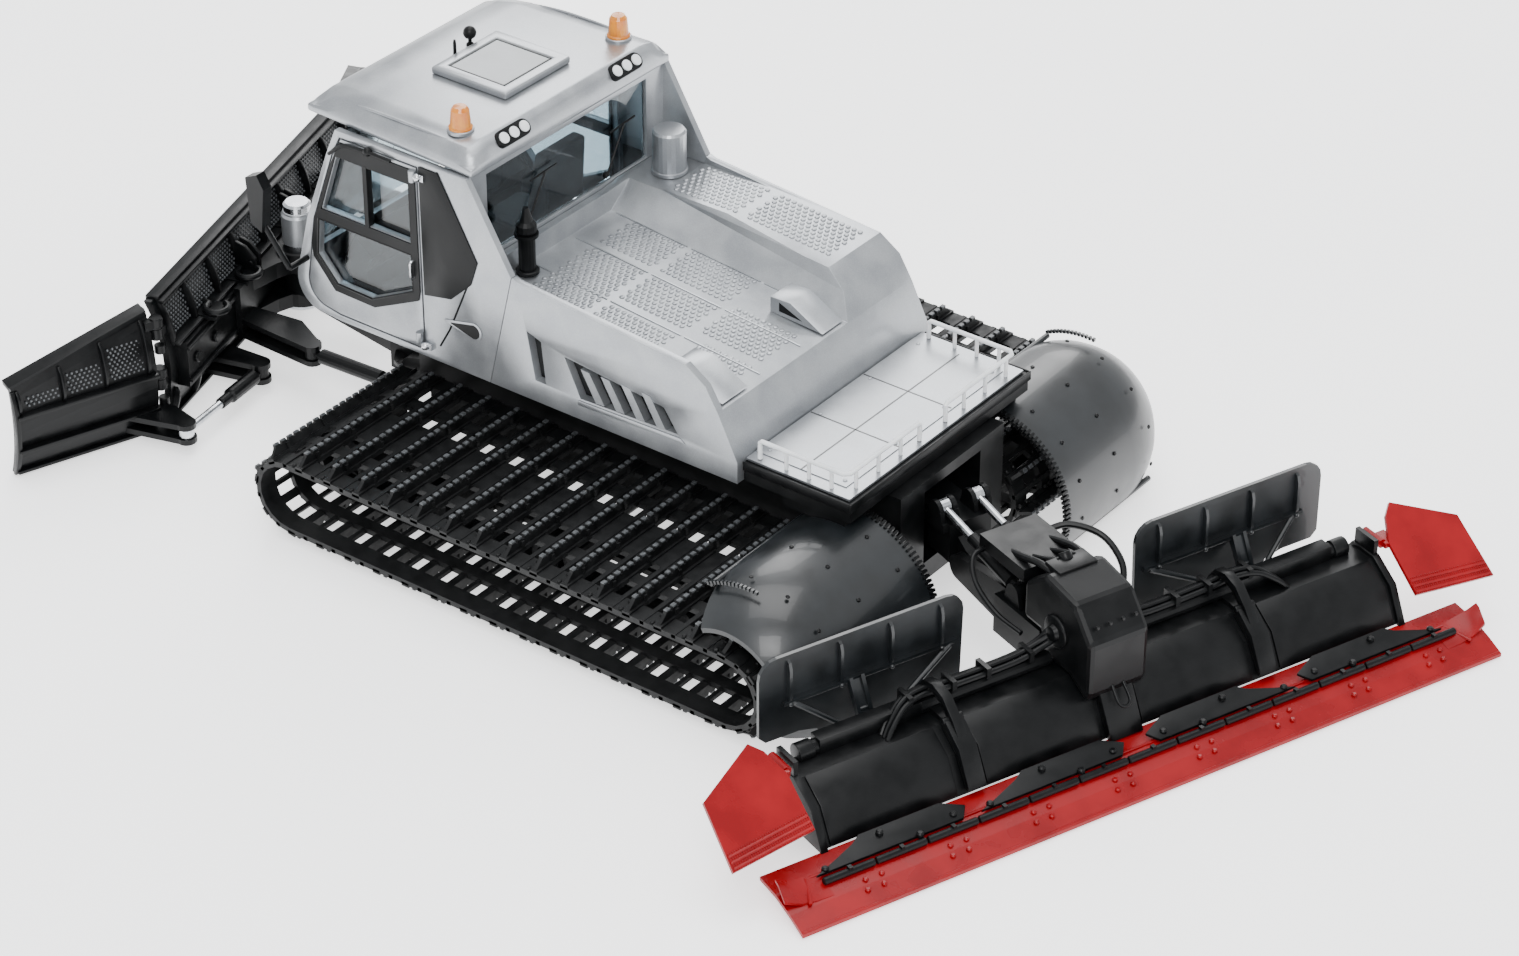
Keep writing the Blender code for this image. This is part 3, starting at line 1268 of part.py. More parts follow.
def clear_scene():
    for old in list(bpy.data.objects):
        bpy.data.objects.remove(old, do_unlink=True)


def make_materials():
    return {
        "silver": plastic("silver_plastic", (0.52, 0.54, 0.56), 0.35, 0.6),
        "black": plastic("black_plastic", (0.022, 0.023, 0.025), 0.5),
        "sheen": plastic("dark_sheen_plastic", (0.035, 0.042, 0.048), 0.35),
        "red": plastic("red_plastic", (0.55, 0.012, 0.02), 0.35),
        "amber": plastic("amber_plastic", (0.85, 0.32, 0.02), 0.25),
        "glass": plastic("clear_plastic", (0.45, 0.52, 0.56), 0.08, 0.0, 0.5),
        "rod": plastic("bright_rod", (0.62, 0.63, 0.65), 0.25, 0.8),
        "grey": plastic("grey_plastic", (0.18, 0.18, 0.19), 0.6),
    }


def build_vehicle(look, root):
    chassis(look["black"], root)
    for name, x, z, radius in axle_places():
        axle(name, x, z, radius, look["black"], root)
    for side in SIDES:
        track(side, look["black"], root)
        fender(side, look["sheen"], root)
        beacon(side, look["amber"], root)
        mirror(side, look["black"], root)
        deck_railing(side, look["silver"], root)
        place = (DOOR_REAR_X + 0.0012, SIDES[side] * (BODY_HALF_WIDTH + 0.0011), 0.1)
        hinge = pivot("door_hinge_" + side, place, root)
        door(side, look["silver"], hinge)
        door_glass(side, look["glass"], hinge)
    cab_shell(look["silver"], root)
    cab_roof(look["silver"], root)
    roof_hatch(look["grey"], root)
    windscreen(look["glass"], root)
    rear_window(look["glass"], root)
    seat(look["grey"], root)
    dashboard(look["black"], root)
    engine_body(look["silver"], root)
    exhaust_stack(look["silver"], root)
    rear_post(look["black"], root)
    rear_platform(look["black"], root)
    platform_plate(look["silver"], root)


def swing_ram_places(side):
    """(barrel eye, rod eye) of a swing ram in the straight blade's frame, at the parked swing."""
    s = SIDES[side]
    blade_end = Vector((KING_PIN_X + SWING_RAM_BLADE[0], s * SWING_RAM_BLADE[1], SWING_RAM_Z))
    frame_end = Vector((SWING_RAM_FRAME[0], s * SWING_RAM_FRAME[1], SWING_RAM_Z))
    return blade_end, turned_about(frame_end, (KING_PIN_X, 0, 0), -BLADE_SWING)


def wing_ram_places(side):
    """(barrel eye, rod eye) of a wing ram in the straight blade's frame, at the parked fold."""
    s = SIDES[side]
    blade_end = Vector((WING_RAM_BLADE[0], s * WING_RAM_BLADE[1], WING_RAM_Z))
    lever_end = Vector((WING_HINGE_X - WING_LEVER, s * WING_HINGE_Y, WING_RAM_Z))
    hinge = (WING_HINGE_X, s * WING_HINGE_Y, 0)
    return blade_end, turned_about(lever_end, hinge, -s * WING_FOLD[side])


def build_blade(look, root):
    lift = pivot("blade_lift_axis", (LIFT_AXIS_X, 0, LIFT_AXIS_Z), root)
    lift_frame(look["black"], lift)
    king_pin(look["rod"], lift)
    swing = pivot("blade_swing_axis", (KING_PIN_X, 0, LIFT_FRAME_HIGH), lift, (0, 0, BLADE_SWING))
    swing_head(look["black"], swing)
    blade_main(look["black"], swing)
    for side, s in SIDES.items():
        start, end = swing_ram_places(side)
        frame = ram_frame("swing_ram_" + side, start, end, swing, (0, 0, 1))
        ram_barrel("swing_barrel_" + side, SWING_BARREL, (0, 0, 1), look["black"], frame)
        ram_rod("swing_rod_" + side, SWING_ROD, (end - start).length, (0, 0, 1), look["rod"], frame)
        place = (WING_HINGE_X, s * WING_HINGE_Y, 0.03)
        fold = pivot("wing_hinge_" + side, place, swing, (0, 0, -s * WING_FOLD[side]))
        blade_wing(side, look["black"], fold)
        start, end = wing_ram_places(side)
        frame = ram_frame("wing_ram_" + side, start, end, swing, (0, 0, 1))
        ram_barrel("wing_barrel_" + side, WING_BARREL, (0, 0, 1), look["black"], frame)
        ram_rod("wing_rod_" + side, WING_ROD, (end - start).length, (0, 0, 1), look["rod"], frame)


SWING_BARREL = 0.0460
SWING_ROD = 0.0440
WING_BARREL = 0.0310
WING_ROD = 0.0320
TILLER_BARREL = 0.0340
TILLER_ROD = 0.0320


def build_tiller(look, root):
    swing = pivot("tiller_swing_axis", (TILLER_SWING_X, 0, TAIL_LUG_HIGH), root, (0, 0, TILLER_SWING))
    tiller_carrier(look["black"], swing)
    lift = pivot("tiller_lift_axis", (TILLER_LIFT_X, 0, TILLER_LIFT_Z), swing)
    tiller_arm(look["black"], lift)
    tiller_cover(look["black"], lift)
    gearbox(look["black"], lift)
    turn = pivot("rotor_axis", (ROTOR_X, 0, ROTOR_Z), lift)
    tiller_rotor(look["black"], turn)
    droop = pivot("skirt_axis", (SKIRT_HINGE_X, 0, SKIRT_HINGE_Z), lift)
    skirt(look["red"], droop)
    for side, s in SIDES.items():
        flap(side, look["sheen"], lift)
        fold = pivot("finisher_axis_" + side, (ROTOR_X, s * FINISHER_HINGE_Y, FINISHER_HINGE_Z), lift)
        side_finisher(side, look["red"], fold)
        start = Vector((TILLER_RAM_ARM[0], s * TILLER_RAM_Y, TILLER_RAM_ARM[1]))
        end = Vector((TILLER_RAM_CARRIER[0], s * TILLER_RAM_Y, TILLER_RAM_CARRIER[1]))
        frame = ram_frame("tiller_ram_" + side, start, end, lift, (0, 1, 0))
        ram_barrel("tiller_barrel_" + side, TILLER_BARREL, (0, 0, 1), look["black"], frame)
        ram_rod("tiller_rod_" + side, TILLER_ROD, (end - start).length, (0, 0, 1), look["rod"], frame)


def centre_footprint(root):
    """Moves the whole model so that its footprint's centre is at the origin and its lowest point at z = 0."""
    bpy.context.view_layer.update()
    graph = bpy.context.evaluated_depsgraph_get()
    low = Vector((1e9, 1e9, 1e9))
    high = -low
    for piece in bpy.data.objects:
        if piece.type == "EMPTY" or piece.hide_render:
            continue
        evaluated = piece.evaluated_get(graph)
        mesh = evaluated.to_mesh()
        for vertex in mesh.vertices:
            point = piece.matrix_world @ vertex.co
            for axis in range(3):
                low[axis] = min(low[axis], point[axis])
                high[axis] = max(high[axis], point[axis])
        evaluated.to_mesh_clear()
    root.location = (-(low.x + high.x) / 2, -(low.y + high.y) / 2, -low.z)


def main():
    clear_scene()
    look = make_materials()
    root = pivot("groomer", (0, 0, 0))
    build_vehicle(look, root)
    build_blade(look, root)
    build_tiller(look, root)
    centre_footprint(root)


main()
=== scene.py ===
"""Looks of a toy snow groomer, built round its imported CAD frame.

Shapes are drawn in millimetres in the straight model: x forward from the rear edge of the load platform,
y to the left from the centre line, z up from the ground. A place matrix then puts them on the part, so the
swung blade, its folded wings and the swung tiller are drawn straight as well.
"""

import json
import math

import bmesh
import bpy
from mathutils import Matrix, Vector


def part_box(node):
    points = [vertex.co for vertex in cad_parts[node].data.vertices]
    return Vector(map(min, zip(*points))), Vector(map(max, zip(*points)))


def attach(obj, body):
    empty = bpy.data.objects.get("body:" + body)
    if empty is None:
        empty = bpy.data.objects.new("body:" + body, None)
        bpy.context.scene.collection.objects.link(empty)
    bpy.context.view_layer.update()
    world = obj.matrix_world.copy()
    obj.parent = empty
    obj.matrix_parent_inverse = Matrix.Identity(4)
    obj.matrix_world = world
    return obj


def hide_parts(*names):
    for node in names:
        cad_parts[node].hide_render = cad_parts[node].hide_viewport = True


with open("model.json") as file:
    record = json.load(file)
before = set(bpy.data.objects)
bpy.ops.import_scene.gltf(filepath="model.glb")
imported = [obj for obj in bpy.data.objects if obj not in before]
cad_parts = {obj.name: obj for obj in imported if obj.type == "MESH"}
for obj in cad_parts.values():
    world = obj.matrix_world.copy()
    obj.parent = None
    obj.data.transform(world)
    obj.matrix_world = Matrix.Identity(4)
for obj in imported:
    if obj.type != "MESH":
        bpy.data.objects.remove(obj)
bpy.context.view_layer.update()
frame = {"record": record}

MM = 0.001
SIDES = {"left": 1, "right": -1}
AXLES = ["rear_sprocket_axle", "front_idler_axle", *[f"road_wheel_axle_{i}" for i in (1, 2, 3)]]

# driving dimensions of the straight model, in millimetres
PLATFORM_HALF_WIDTH = 62.0
PLATFORM_TOP = 76.3
PANEL_TOP = 76.7
TRACK_OUTER_Y = 133.0
TRACK_INNER_Y = 43.0
TRACK_REAR_X = 8.0
TRACK_FRONT_X = 235.5
BELT_RADIUS = 17.0
BELT_THICKNESS = 2.5
GROUSER_HEIGHT = 5.5
GROUSER_PITCH = 15.7
AXLE_Z = BELT_RADIUS + GROUSER_HEIGHT
BODY_HALF_WIDTH = 66.0
ROOF_TOP = 170.0
BIN_TOP = 117.0
BED_REAR = (62.0, 96.0)
BED_FRONT = (185.0, 107.0)
SIDE_REAR = (78.0, 112.5)
SIDE_FRONT = (163.8, 119.5)
TREAD_PITCH = 3.1
FENDER_RADIUS = 40.0
FENDER_WALL = 2.0
KING_PIN_X = 347.5
BLADE_BACK_X = 360.0
BLADE_CURVE = 75.0
BLADE_PLATE = 3.0
BLADE_MIDDLE = 30.0
WING_HINGE = (368.5, 98.5)
WING_START = 101.5
WING_LENGTH = 66.0
WING_MOST_FOLD = 45.0  # degrees, at the upper limit of its joint
TILLER_SWING_X = 5.0
FLAP_BACK_X = -78.0

# ---------------------------------------------------------------- places
joints = {joint["name"]: joint for joint in frame["record"]["behaviour"]["joints"]}


def joint_place(name):
    return Vector(joints[name]["pos_m"])


def body_place():
    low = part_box("rear_platform")[0]
    shift = Matrix.Translation((low[0], low[1] + PLATFORM_HALF_WIDTH * MM, 0.0))
    return shift @ Matrix.Scale(MM, 4)


def swung_place(pivot, straight_xy, yaw):
    """The straight model turned by yaw about a pivot that lies at straight_xy in it."""
    x, y = straight_xy
    there = Matrix.Translation((pivot[0], pivot[1], 0.0)) @ Matrix.Rotation(yaw, 4, "Z")
    return there @ Matrix.Scale(MM, 4) @ Matrix.Translation((-x, -y, 0.0))


BODY = body_place()
lift_axis = joints["tiller_lift_hinge"]["axis"]
tiller_yaw = math.atan2(-lift_axis[0], lift_axis[1])
TILLER = swung_place(joint_place("tiller_swing_hinge"), (TILLER_SWING_X, 0.0), tiller_yaw)
blade_line = joint_place("wing_left_fold") - joint_place("wing_right_fold")
blade_yaw = math.atan2(-blade_line.x, blade_line.y)
BLADE = swung_place(joint_place("blade_swing_hinge"), (KING_PIN_X, 0.0), blade_yaw)


def wing_place(side):
    fold = math.radians(WING_MOST_FOLD - joints[f"wing_{side}_fold"]["range_deg"][1])
    hinge = (WING_HINGE[0], SIDES[side] * WING_HINGE[1])
    return swung_place(joint_place(f"wing_{side}_fold"), hinge, blade_yaw - SIDES[side] * fold)


# ---------------------------------------------------------------- materials


def linear(code):
    """#RRGGBB in sRGB to linear RGBA."""
    parts = [int(code[i : i + 2], 16) / 255 for i in (1, 3, 5)]
    return (*[p / 12.92 if p <= 0.04045 else ((p + 0.055) / 1.055) ** 2.4 for p in parts], 1.0)


def add(tree, kind, settings=None, links=None):
    """Adds a node. Lower-case settings are its properties, the others its sockets' values."""
    made = tree.nodes.new(kind)
    for key, value in (settings or {}).items():
        if isinstance(key, str) and key.islower():
            setattr(made, key, value)
        else:
            made.inputs[key].default_value = value
    for key, source in (links or {}).items():
        tree.links.new(source, made.inputs[key])
    return made


def per_mm(size):
    """Noise scale whose grains are about size millimetres across."""
    return 1.0 / (size * MM)


def start_material(name, shader_settings):
    material = bpy.data.materials.new(name)
    material.use_nodes = True
    tree = material.node_tree
    tree.nodes.clear()
    shader = add(tree, "ShaderNodeBsdfPrincipled", shader_settings)
    output = add(tree, "ShaderNodeOutputMaterial", links={"Surface": shader.outputs["BSDF"]})
    output.name = "output"
    coordinates = add(tree, "ShaderNodeTexCoord")
    return material, tree, shader, coordinates.outputs["Object"]


def mottled(tree, shader, where, colours, size, rough):
    """Colour drifts between two tones and roughness between two values over patches of size mm."""
    patches = add(tree, "ShaderNodeTexNoise", {"Scale": per_mm(size), "Detail": 4.0}, {"Vector": where})
    limits = {"From Min": 0.35, "From Max": 0.65}
    fade = add(tree, "ShaderNodeMapRange", limits, {"Value": patches.outputs["Fac"]})
    mix = add(tree, "ShaderNodeMix", {"data_type": "RGBA", 6: linear(colours[0]), 7: linear(colours[1])})
    tree.links.new(fade.outputs["Result"], mix.inputs[0])
    tree.links.new(mix.outputs[2], shader.inputs["Base Color"])
    gloss = add(tree, "ShaderNodeMapRange", {"To Min": rough[0], "To Max": rough[1]})
    tree.links.new(fade.outputs["Result"], gloss.inputs["Value"])
    tree.links.new(gloss.outputs["Result"], shader.inputs["Roughness"])
    return mix


def grained(tree, shader, where, size, depth, strength=0.5):
    """Fine moulded grain: size and depth in millimetres."""
    grain = add(tree, "ShaderNodeTexNoise", {"Scale": per_mm(size), "Detail": 3.0}, {"Vector": where})
    rise = {"Strength": strength, "Distance": depth * MM}
    bump = add(tree, "ShaderNodeBump", rise, {"Height": grain.outputs["Fac"]})
    tree.links.new(bump.outputs["Normal"], shader.inputs["Normal"])


def silver_abs():
    """ABS with aluminium flake, injection moulded: a soft silver with tiny bright grains and broad gloss."""
    settings = {"Metallic": 0.75, "Coat Weight": 0.15, "Coat Roughness": 0.2}
    material, tree, shader, where = start_material("silver_flake_abs", settings)
    mix = mottled(tree, shader, where, ("#9A9DA1", "#A9ACAF"), 14.0, (0.28, 0.38))
    flake = add(tree, "ShaderNodeTexVoronoi", {"Scale": per_mm(0.5)}, {"Vector": where})
    limits = {"To Min": 0.88, "To Max": 1.06}
    shine = add(tree, "ShaderNodeMapRange", limits, {"Value": flake.outputs["Distance"]})
    links = {0: mix.outputs[2], "Scale": shine.outputs["Result"]}
    scaled = add(tree, "ShaderNodeVectorMath", {"operation": "SCALE"}, links)
    tree.links.new(scaled.outputs["Vector"], shader.inputs["Base Color"])
    grained(tree, shader, where, 0.35, 0.01)
    return material


def black_abs():
    """Through-dyed black ABS from a spark-eroded mould: satin, slightly grey on its high spots."""
    settings = {"Specular IOR Level": 0.22, "IOR": 1.5}
    material, tree, shader, where = start_material("black_moulded_abs", settings)
    mottled(tree, shader, where, ("#060708", "#0D0E0F"), 9.0, (0.30, 0.42))
    grained(tree, shader, where, 0.30, 0.02)
    return material


def brushed_black_abs():
    """Black ABS from a mould with filed walls: fine parallel lines across the hood catch long highlights."""
    material, tree, shader, where = start_material("lined_black_abs", {"IOR": 1.54, "Coat Weight": 0.2})
    mottled(tree, shader, where, ("#0D1012", "#171B1E"), 16.0, (0.28, 0.40))
    stretch = add(tree, "ShaderNodeMapping", {"Scale": (1.0, 0.04, 1.0)}, {"Vector": where})
    fine = {"Scale": per_mm(0.45), "Detail": 2.0}
    lines = add(tree, "ShaderNodeTexNoise", fine, {"Vector": stretch.outputs["Vector"]})
    rise = {"Strength": 0.35, "Distance": 0.03 * MM}
    bump = add(tree, "ShaderNodeBump", rise, {"Height": lines.outputs["Fac"]})
    tree.links.new(bump.outputs["Normal"], shader.inputs["Normal"])
    return material


def track_abs():
    """Tough black nylon of the track loops: matt, with paler rubbed grain."""
    settings = {"IOR": 1.5, "Specular IOR Level": 0.3}
    material, tree, shader, where = start_material("matt_black_nylon", settings)
    mottled(tree, shader, where, ("#08090A", "#111213"), 5.0, (0.46, 0.62))
    grained(tree, shader, where, 0.5, 0.04)
    return material


def pale_highlight_nylon():
    """Pale grey-black nylon: a painted highlight on the crests of the grousers' teeth, read as the pale
    dotted line; it also colours the diamonds on the blade's grids.
    """
    material, tree, shader, where = start_material("rubbed_grouser_nylon", {"IOR": 1.53})
    mottled(tree, shader, where, ("#3A3C3E", "#5A5D60"), 1.2, (0.40, 0.55))
    grained(tree, shader, where, 0.4, 0.04)
    return material


def red_abs():
    """Signal-red ABS, polished mould: deep red with a wet gloss."""
    material, tree, shader, where = start_material("signal_red_abs", {"IOR": 1.5, "Specular IOR Level": 0.28})
    mottled(tree, shader, where, ("#7A0007", "#8E020C"), 18.0, (0.24, 0.34))
    grained(tree, shader, where, 0.6, 0.012)
    return material


def amber_styrene():
    """Amber polystyrene lens: glows at its edges where light runs through it."""
    settings = {"IOR": 1.59, "Transmission Weight": 0.35, "Roughness": 0.15}
    material, tree, shader, where = start_material("amber_polystyrene", settings)
    mottled(tree, shader, where, ("#E07C08", "#F29A1C"), 3.0, (0.12, 0.22))
    return material


def clear_styrene():
    """Clear polystyrene glazing: near colourless, with faint flow waves."""
    settings = {"IOR": 1.49, "Transmission Weight": 1.0, "Roughness": 0.03, "Base Color": linear("#B4C3CA")}
    material, tree, shader, where = start_material("clear_polystyrene", settings)
    waves = add(tree, "ShaderNodeTexNoise", {"Scale": per_mm(25.0)}, {"Vector": where})
    rise = {"Strength": 0.2, "Distance": 0.05 * MM}
    bump = add(tree, "ShaderNodeBump", rise, {"Height": waves.outputs["Fac"]})
    tree.links.new(bump.outputs["Normal"], shader.inputs["Normal"])
    return material


def smoked_styrene():
    """Smoked polystyrene of the hatch: dark grey with a clean reflection."""
    material, tree, shader, where = start_material("smoked_polystyrene", {"IOR": 1.49, "Coat Weight": 0.5})
    mottled(tree, shader, where, ("#4A5257", "#5C656A"), 20.0, (0.06, 0.12))
    return material


def plated_abs():
    """Vacuum-plated ABS: bright rod and hinge caps, a little wavy."""
    material, tree, shader, where = start_material("plated_abs", {"Metallic": 1.0})
    mottled(tree, shader, where, ("#B9BCC0", "#D5D7DA"), 4.0, (0.16, 0.28))
    grained(tree, shader, where, 0.8, 0.01)
    return material


def white_acetal():
    """White-grey acetal of the railings and lamps: smooth and slightly waxy."""
    material, tree, shader, where = start_material("white_acetal", {"IOR": 1.48, "Subsurface Weight": 0.05})
    mottled(tree, shader, where, ("#DCDEE0", "#ECEDEE"), 8.0, (0.28, 0.36))
    grained(tree, shader, where, 0.5, 0.01)
    return material


def grey_vinyl():
    """Dark grey moulded seat: leather-like pebble grain."""
    material, tree, shader, where = start_material("grain_moulded_seat", {"IOR": 1.5})
    mottled(tree, shader, where, ("#2C2D2F", "#3A3B3D"), 6.0, (0.5, 0.6))
    pebbles = add(tree, "ShaderNodeTexVoronoi", {"Scale": per_mm(0.9)}, {"Vector": where})
    rise = {"Strength": 0.25, "Distance": 0.05 * MM}
    bump = add(tree, "ShaderNodeBump", rise, {"Height": pebbles.outputs["Distance"]})
    tree.links.new(bump.outputs["Normal"], shader.inputs["Normal"])
    return material


def backdrop_paper():
    """Seamless studio paper: matt white, lit through from below so that only contact shadows show on it."""
    settings = {"Specular IOR Level": 0.2, "Emission Color": linear("#FFFFFF"), "Emission Strength": 1.1}
    material, tree, shader, where = start_material("studio_paper", settings)
    mottled(tree, shader, where, ("#FAFAFB", "#FDFDFD"), 300.0, (0.75, 0.85))
    return material


SILVER = silver_abs()
BLACK = black_abs()
SHEEN = brushed_black_abs()
TRACK = track_abs()
# pale grey painted highlight on the grousers' tooth crests
PALE_HIGHLIGHT = pale_highlight_nylon()
RED = red_abs()
AMBER = amber_styrene()
CLEAR = clear_styrene()
SMOKED = smoked_styrene()
PLATED = plated_abs()
WHITE = white_acetal()
SEAT = grey_vinyl()
PAPER = backdrop_paper()

# ---------------------------------------------------------------- modelling tools


LEAST_RADIUS = 0.02  # millimetres, so that the tip of a turned solid stays open


class Shape:
    """A mesh that grows by simple solids, in millimetres."""

    def __init__(self):
        self.mesh = bmesh.new()

    def loft(self, rings, capped=True):
        loops = [[self.mesh.verts.new(point) for point in ring] for ring in rings]
        faces = []
        for near, far in zip(loops, loops[1:]):
            for i, corner in enumerate(near):
                j = (i + 1) % len(near)
                faces.append(self.mesh.faces.new((corner, near[j], far[j], far[i])))
        if capped:
            faces.append(self.mesh.faces.new(loops[0]))
            faces.append(self.mesh.faces.new(loops[-1]))
        bmesh.ops.recalc_face_normals(self.mesh, faces=faces)
        return self

    def prism(self, outline, axis, low, high):
        """outline holds the other two axes in order."""

        def ring(level):
            if axis == "X":
                return [(level, a, b) for a, b in outline]
            if axis == "Y":
                return [(a, level, b) for a, b in outline]
            return [(a, b, level) for a, b in outline]

        return self.loft([ring(min(low, high)), ring(max(low, high))])

    def box(self, low, high):
        corners = [(low[0], low[1]), (high[0], low[1]), (high[0], high[1]), (low[0], high[1])]
        return self.prism(corners, "Z", low[2], high[2])

    def turned(self, profile, start, towards, sides=20):
        """profile holds (distance along the axis, radius) pairs."""
        along = (Vector(towards) - Vector(start)).normalized()
        across = along.orthogonal().normalized()
        other = along.cross(across)
        turns = [2 * math.pi * i / sides for i in range(sides)]
        spokes = [across * math.cos(t) + other * math.sin(t) for t in turns]
        rings = []
        for reach, radius in profile:
            centre = Vector(start) + along * reach
            rings.append([centre + spoke * max(radius, LEAST_RADIUS) for spoke in spokes])
        return self.loft(rings)

    def standing(self, profile, spot, sides=20):
        """A turned solid that stands upright on spot."""
        return self.turned(profile, spot, (spot[0], spot[1], spot[2] + 1), sides)

    def rod(self, start, end, radius, sides=12):
        length = (Vector(end) - Vector(start)).length
        edge = min(0.25 * radius, 0.3)
        profile = [(0, radius - edge), (edge, radius), (length - edge, radius), (length, radius - edge)]
        return self.turned(profile, start, end, sides)

    def ball(self, centre, radius, sides=12):
        steps = [math.pi * i / 8 for i in range(9)]
        profile = [(radius - radius * math.cos(t), radius * math.sin(t)) for t in steps]
        return self.turned(profile, (centre[0], centre[1], centre[2] - radius), centre, sides)

    def tube(self, points, radius, sides=10):
        """A round bar that follows points."""
        path = [Vector(point) for point in points]
        rings = []
        across = None
        for i, point in enumerate(path):
            before = path[max(i - 1, 0)]
            after = path[min(i + 1, len(path) - 1)]
            along = (after - before).normalized()
            across = along.orthogonal() if across is None else across - along * across.dot(along)
            across.normalize()
            other = along.cross(across)
            turns = [2 * math.pi * k / sides for k in range(sides)]
            rings.append([point + (across * math.cos(t) + other * math.sin(t)) * radius for t in turns])
        return self.loft(rings)

    def object(self, name):
        mesh = bpy.data.meshes.new(name)
        self.mesh.to_mesh(mesh)
        self.mesh.free()
        made = bpy.data.objects.new(name, mesh)
        bpy.context.scene.collection.objects.link(made)
        return made


def plain_mesh(made):
    """Turns the evaluated object into a plain mesh and removes its modifiers."""
    bpy.context.view_layer.update()
    graph = bpy.context.evaluated_depsgraph_get()
    mesh = bpy.data.meshes.new_from_object(made.evaluated_get(graph))
    mesh.name = made.name
    made.modifiers.clear()
    made.data = mesh


def settle(made, material, body, place, smooth=32.0):
    """Puts a finished mesh on the part and lets it ride on its body."""
    made.data.transform(place)
    if not made.data.materials:
        made.data.materials.append(material)
    if smooth:
        made.data.shade_smooth()
        made.data.set_sharp_from_angle(angle=math.radians(smooth))
    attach(made, body)
    return made


def piece(name, shape, material, body, place, bevel=0.0, smooth=32.0):
    made = shape.object(name)
    if bevel:
        edge = made.modifiers.new("edge", "BEVEL")
        edge.width = bevel
        edge.segments = 2
        edge.limit_method = "ANGLE"
        edge.angle_limit = math.radians(35)
        plain_mesh(made)
    return settle(made, material, body, place, smooth)


def softened(node, material, body, width):
    """The node's own shape with rounded edges, in its place."""
    source = bpy.data.objects[node]
    mesh = source.data.copy()
    mesh.transform(source.matrix_world)
    mesh.materials.clear()
    flat = bmesh.new()
    flat.from_mesh(mesh)
    bmesh.ops.remove_doubles(flat, verts=flat.verts, dist=1e-6)
    bmesh.ops.dissolve_limit(flat, angle_limit=math.radians(1.5), verts=flat.verts, edges=flat.edges)
    flat.to_mesh(mesh)
    flat.free()
    made = bpy.data.objects.new("soft_" + node, mesh)
    bpy.context.scene.collection.objects.link(made)
    edge = made.modifiers.new("edge", "BEVEL")
    edge.width = width * MM
    edge.segments = 2
    edge.limit_method = "ANGLE"
    edge.angle_limit = math.radians(28)
    plain_mesh(made)
    settle(made, material, body, Matrix(), 40)
    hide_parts(node)


def cut(made, cutter):
    """Takes cutter away from made."""
    taken = made.modifiers.new("cut", "BOOLEAN")
    taken.operation = "DIFFERENCE"
    taken.solver = "EXACT"
    taken.object = cutter
    plain_mesh(made)
    bpy.data.objects.remove(cutter, do_unlink=True)
    return made


def arc(centre, radius, first, last, steps):
    turns = [math.radians(first + (last - first) * i / steps) for i in range(steps + 1)]
    return [(centre[0] + radius * math.cos(t), centre[1] + radius * math.sin(t)) for t in turns]


def smooth_path(points, steps=6):
    """Catmull-Rom curve through points."""
    knots = [Vector(point) for point in points]
    knots = [2 * knots[0] - knots[1], *knots, 2 * knots[-1] - knots[-2]]
    path = []
    for a, b, c, d in zip(knots, knots[1:], knots[2:], knots[3:]):
        for i in range(steps):
            t = i / steps
            bend = (2 * a - 5 * b + 4 * c - d) * t**2 + (3 * b - a - 3 * c + d) * t**3
            path.append(0.5 * (2 * b + (c - a) * t + bend))
    return [*path, knots[-2]]


# ---------------------------------------------------------------- geometry trees
def new_tree(name, sockets):
    """An empty geometry tree with named inputs: name -> (kind, default)."""
    tree = bpy.data.node_groups.new(name, "GeometryNodeTree")
    tree.interface.new_socket("Geometry", in_out="INPUT", socket_type="NodeSocketGeometry")
    for label, (kind, default) in sockets.items():
        made = tree.interface.new_socket(label, in_out="INPUT", socket_type="NodeSocket" + kind)
        if default is not None:
            made.default_value = default
    tree.interface.new_socket("Geometry", in_out="OUTPUT", socket_type="NodeSocketGeometry")
    return tree, add(tree, "NodeGroupInput").outputs


def end_tree(tree, given, points, rotation=None):
    """Puts Shape on every point, makes it real and paints it."""
    shape = add(tree, "GeometryNodeObjectInfo", {"transform_space": "ORIGINAL"}, {"Object": given["Shape"]})
    links = {"Points": points, "Instance": shape.outputs["Geometry"]}
    if rotation is not None:
        links["Rotation"] = rotation
    copies = add(tree, "GeometryNodeInstanceOnPoints", links=links)
    real = add(tree, "GeometryNodeRealizeInstances", links={"Geometry": copies.outputs["Instances"]})
    links = {"Geometry": real.outputs["Geometry"], "Material": given["Material"]}
    painted = add(tree, "GeometryNodeSetMaterial", links=links)
    add(tree, "NodeGroupOutput", links={"Geometry": painted.outputs["Geometry"]})
    return tree


